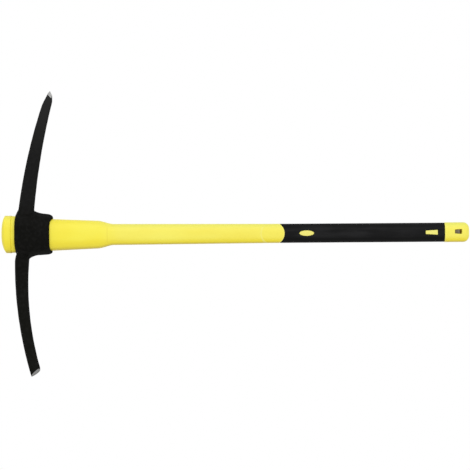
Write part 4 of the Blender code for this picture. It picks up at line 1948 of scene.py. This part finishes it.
    def edge_planes(self) -> list[Plane]:
        """The planes that end the chisel arm and grind its edge from both faces.

        Returns:
            The planes.
        """
        arm = CHISEL_ARM
        outer = self.outer_x(arm, arm.reach)
        end_width = self.inner_x(arm, arm.reach) - outer
        rise = math.radians(arm.outer_lean) + (arm.reach - self.root(arm)) / arm.outer_radius
        slant = rise + math.radians(self.edge_skew)
        chord = end_width * math.cos(rise) / math.cos(math.radians(self.edge_skew))
        along = Vector((math.cos(slant), math.sin(slant), 0))
        outward = Vector((math.sin(slant), -math.cos(slant), 0))
        middle = Vector((outer, -arm.reach, 0)) + along * chord / 2 + outward * self.edge_bow
        bevel = math.radians(self.edge_bevel)
        planes = []
        for angle, shift, advance, ground in self.edge_tangents(chord):
            edge = middle + along * shift + outward * advance
            normal = outward * math.cos(angle) + along * math.sin(angle)
            planes.append(Plane(edge, normal))
            for side in (-1, 1) if ground else ():
                rim = edge + Vector((0, 0, side * self.edge_thickness / 2))
                face_normal = normal * math.sin(bevel) + Vector((0, 0, side * math.cos(bevel)))
                planes.append(Plane(rim, face_normal))
        return planes

    def block(self, side: Side, near: float, half_width: float) -> Mesh:
        """A block round an arm's end.

        Args:
            side: Which arm.
            near: How far from the axis it starts.
            half_width: Its half width along X and along Z.

        Returns:
            Its mesh.
        """
        length = self.block_far - near
        centre = Vector((self.tip().x, side.value * (near + length / 2), 0.0))
        bm = bmesh.new()
        bmesh.ops.create_cube(bm, size=1.0)
        bmesh.ops.scale(bm, verts=bm.verts, vec=(2 * half_width, length, 2 * half_width))
        bmesh.ops.translate(bm, verts=bm.verts, vec=centre)
        return bm

    def waste(self, planes: Sequence[Plane], side: Side, near: float) -> Mesh:
        """What lies beyond any of some planes at an arm's end.

        Args:
            planes: The planes.
            side: Which arm.
            near: How far from the axis the planes start to count.

        Returns:
            The solid to take away.
        """
        kept = self.block(side, near - self.block_spare, self.block_half_width + self.block_spare)
        for plane in planes:
            bmesh.ops.bisect_plane(
                kept,
                geom=[*kept.verts, *kept.edges, *kept.faces],
                dist=TOUCHING,
                plane_co=plane.point,
                plane_no=plane.normal,
                clear_outer=True,
            )
            rim = [edge for edge in kept.edges if edge.is_boundary]
            bmesh.ops.holes_fill(kept, edges=rim, sides=0)
        return machined(self.block(side, near, self.block_half_width), [(Cut.TAKE_AWAY, kept)])

    def blank(self) -> Mesh:
        """The forging before it is ground: joined, punched, and soft at every edge.

        Returns:
            Its mesh.
        """
        cuts = [
            (Cut.JOIN, self.bar(PICK_ARM)),
            (Cut.TAKE_AWAY, self.waste(self.drawn_planes(), Side.PICK, self.drawn_from)),
            (Cut.JOIN, self.bar(CHISEL_ARM)),
            (Cut.TAKE_AWAY, self.socket.eye()),
        ]
        bm = machined(self.socket.build(), cuts, self.voxel)
        for _ in range(self.softening):
            bmesh.ops.smooth_vert(
                bm, verts=bm.verts, factor=0.5, use_axis_x=True, use_axis_y=True, use_axis_z=True
            )
        return bm

    def in_eye(self, place: Vector) -> bool:
        """Whether a place lies on the wall of the eye.

        Args:
            place: The place.

        Returns:
            Whether it does.
        """
        eye = self.plan.taper(place.x, self.eye_spare)
        share = (abs(place.y - eye.shift) / eye.half_height) ** eye.squareness
        return share + (abs(place.z) / eye.half_depth) ** eye.squareness < 1

    def hammer(self, bm: Mesh) -> None:
        """Press shallow uneven dents into the forging, outside the eye.

        Args:
            bm: The forging's mesh.
        """
        bm.normal_update()
        moves = []
        for vert in bm.verts:
            if self.in_eye(vert.co):
                continue
            broad = noise.noise(vert.co / self.dent_size)
            small = noise.noise(vert.co / self.small_dent_size + Vector(self.small_dent_place))
            depth = self.dent * (0.5 + 0.5 * broad + self.small_dent * small)
            moves.append((vert, vert.normal * -max(0.0, depth)))
        for vert, move in moves:
            vert.co += move

    def mark(self, bm: Mesh) -> None:
        """Note at each vertex how far beyond the ground planes, how ridged and how level it is.

        Args:
            bm: The head's mesh.
        """
        gap_layer = bm.verts.layers.float.new("ground_gap")
        ridge_layer = bm.verts.layers.float.new("ridge")
        level_layer = bm.verts.layers.float.new("level")
        bm.normal_update()
        ends = (
            (Side.PICK, self.point_planes(), self.point_from + self.marked_ahead),
            (Side.CHISEL, self.edge_planes(), self.edge_from + self.marked_ahead),
        )
        for vert in bm.verts:
            vert[gap_layer] = self.unground
            for side, planes, beyond in ends:
                if vert.co.y * side.value > beyond:
                    vert[gap_layer] = max(plane.gap(vert.co) for plane in planes) / MM
            mean = sum((edge.other_vert(vert).co for edge in vert.link_edges), Vector())
            away = vert.co - mean / max(1, len(vert.link_edges))
            vert[ridge_layer] = away.dot(vert.normal) / self.ridge_unit
            vert[level_layer] = abs(vert.normal.z)

    def build(self) -> bpy.types.Object:
        """Forge, grind and dress the head.

        Returns:
            The piece.
        """
        bm = self.blank()
        self.hammer(bm)
        grinding = [
            (Cut.TAKE_AWAY, self.waste(self.point_planes(), Side.PICK, self.point_from)),
            (Cut.TAKE_AWAY, self.waste(self.edge_planes(), Side.CHISEL, self.edge_from)),
        ]
        bm = machined(bm, grinding)
        self.mark(bm)
        return add_piece(self.label, bm, ForgeBlack().make())


# Studio


@dataclass(frozen=True)
class Lamp:
    """A soft square lamp."""

    name: str
    place: tuple[float, float, float]
    size: float
    watts: float

    def hang(self, aim: Vector) -> None:
        """Hang it.

        Args:
            aim: What it points at.
        """
        lamp = bpy.data.lights.new(self.name, "AREA")
        lamp.shape = "SQUARE"
        lamp.size = self.size
        lamp.energy = self.watts
        item = placed(lamp)
        item.location = self.place
        item.rotation_euler = (aim - Vector(self.place)).to_track_quat("-Z", "Y").to_euler()


@dataclass
class Studio:
    """The pale floor, the soft lamps and the camera above the tool."""

    lamps: tuple[Lamp, ...] = (
        Lamp("key", (0.1, 3.2, 3.4), 4.4, 66.0),
        Lamp("fill", (2.4, -0.8, 3.4), 3.0, 18.0),
    )
    floor_z: float = -31.4 * MM
    floor_size: float = 14.0
    room: float = 0.80
    distance: float = 3.3
    view_width: float = 906.5 * MM
    centre: tuple[float, float] = (448.9 * MM, -2.6 * MM)
    roll: float = 0.4
    sensor: float = 36.0
    clip_end: float = 50.0
    white: Colour = (0.80, 0.80, 0.80)
    shadow: Colour = (0.20, 0.16, 0.10)
    nook: float = 30 * MM
    shadow_front: Span = (4 * MM, 16 * MM)
    shadow_rear: Span = (884 * MM, 896 * MM)
    shadow_side: Span = (5 * MM, 16 * MM)
    shadow_butt: Span = (800 * MM, 866 * MM)
    covered: Span = (0.70, 0.90)
    open: Span = (0.02, 0.30)

    @staticmethod
    def seen(bench: Bench) -> Wire:
        """1 for rays that show the backdrop as it is seen, directly or in a mirror.

        Args:
            bench: The backdrop's bench.

        Returns:
            The share.
        """
        path = bench.tree.nodes.new("ShaderNodeLightPath")
        wires = [
            Wire(bench, path.outputs[name])
            for name in ("Is Camera Ray", "Is Glossy Ray", "Is Transmission Ray")
        ]
        return wires[0].at_least(wires[1]).at_least(wires[2])

    def lay_floor(self) -> None:
        """A white floor that stays white to the eye, except in the object's shadow, with a shadow
        painted under the handle.
        """
        bm = bmesh.new()
        bmesh.ops.create_grid(bm, x_segments=1, y_segments=1, size=self.floor_size / 2)
        bmesh.ops.translate(bm, verts=bm.verts, vec=(self.centre[0], 0, self.floor_z))
        floor = placed(stored("floor", bm))
        bench = Bench("pale_floor")
        feeds = {"Distance": self.nook}
        sky = bench.node("ShaderNodeAmbientOcclusion", {"samples": 8}, feeds, "AO")
        along = bench.axis("X")
        # Painted shadow: under the handle the floor turns dark and stops glowing, deepest at the
        # butt.
        below = along.ease(*self.shadow_front) * along.fade(*self.shadow_rear)
        across = abs(bench.axis("Y")).fade(*self.shadow_side)
        strength = 0.55 + along.ease(*self.shadow_butt) * 0.45
        painted_shadow = below * across * strength * sky.fade(*self.covered)
        cover = bench.blend(painted_shadow, self.white, self.shadow)
        bench.dress({"Base Color": cover, "Roughness": 0.9, "Specular IOR Level": 0.1})
        lit = self.seen(bench) * sky.ease(*self.open) * (1.0 - painted_shadow)
        glow = bench.tree.nodes.new("ShaderNodeEmission")
        shade = bench.tree.nodes.new("ShaderNodeMixShader")
        bench.feed(shade.inputs[0], lit)
        bench.tree.links.new(bench.shader.outputs[0], shade.inputs[1])
        bench.tree.links.new(glow.outputs[0], shade.inputs[2])
        bench.tree.links.new(shade.outputs[0], bench.tree.nodes["Material Output"].inputs[0])
        floor.data.materials.append(bench.material)

    def light_room(self) -> None:
        """An even grey room, seen as white."""
        world = bpy.data.worlds.new("room")
        bpy.context.scene.world = world
        world.use_nodes = True
        tree = world.node_tree
        background = tree.nodes["Background"]
        path = tree.nodes.new("ShaderNodeLightPath")
        level = tree.nodes.new("ShaderNodeMapRange")
        level.inputs[3].default_value = self.room
        level.inputs[4].default_value = 1.0
        background.inputs["Color"].default_value = (1.0, 1.0, 1.0, 1.0)
        tree.links.new(path.outputs["Is Camera Ray"], level.inputs[0])
        tree.links.new(level.outputs[0], background.inputs["Strength"])

    def set_camera(self) -> None:
        """A camera straight above the tool, turned a little so that the handle rises."""
        lens = bpy.data.cameras.new("camera")
        lens.sensor_width = self.sensor
        lens.lens = self.sensor * self.distance / self.view_width
        lens.clip_end = self.clip_end
        camera = placed(lens)
        camera.location = (*self.centre, self.distance)
        camera.rotation_euler = (0.0, 0.0, math.radians(-self.roll))
        bpy.context.scene.camera = camera

    def build(self) -> None:
        """Set up the whole studio."""
        bpy.context.scene.view_settings.view_transform = "Standard"
        self.lay_floor()
        self.light_room()
        aim = Vector((self.centre[0], 0.0, 0.0))
        for lamp in self.lamps:
            lamp.hang(aim)
        self.set_camera()


def main() -> None:
    """Build the tool and the studio, and report each piece.
    """
    logging.basicConfig(level=logging.INFO, format="%(name)s: %(message)s")
    plan = HandlePlan()
    for maker in (Jacket(plan), Core(plan), Grip(plan), Head(plan)):
        maker.build()
    Studio().build()


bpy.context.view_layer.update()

if __name__ == "__main__":
    main()
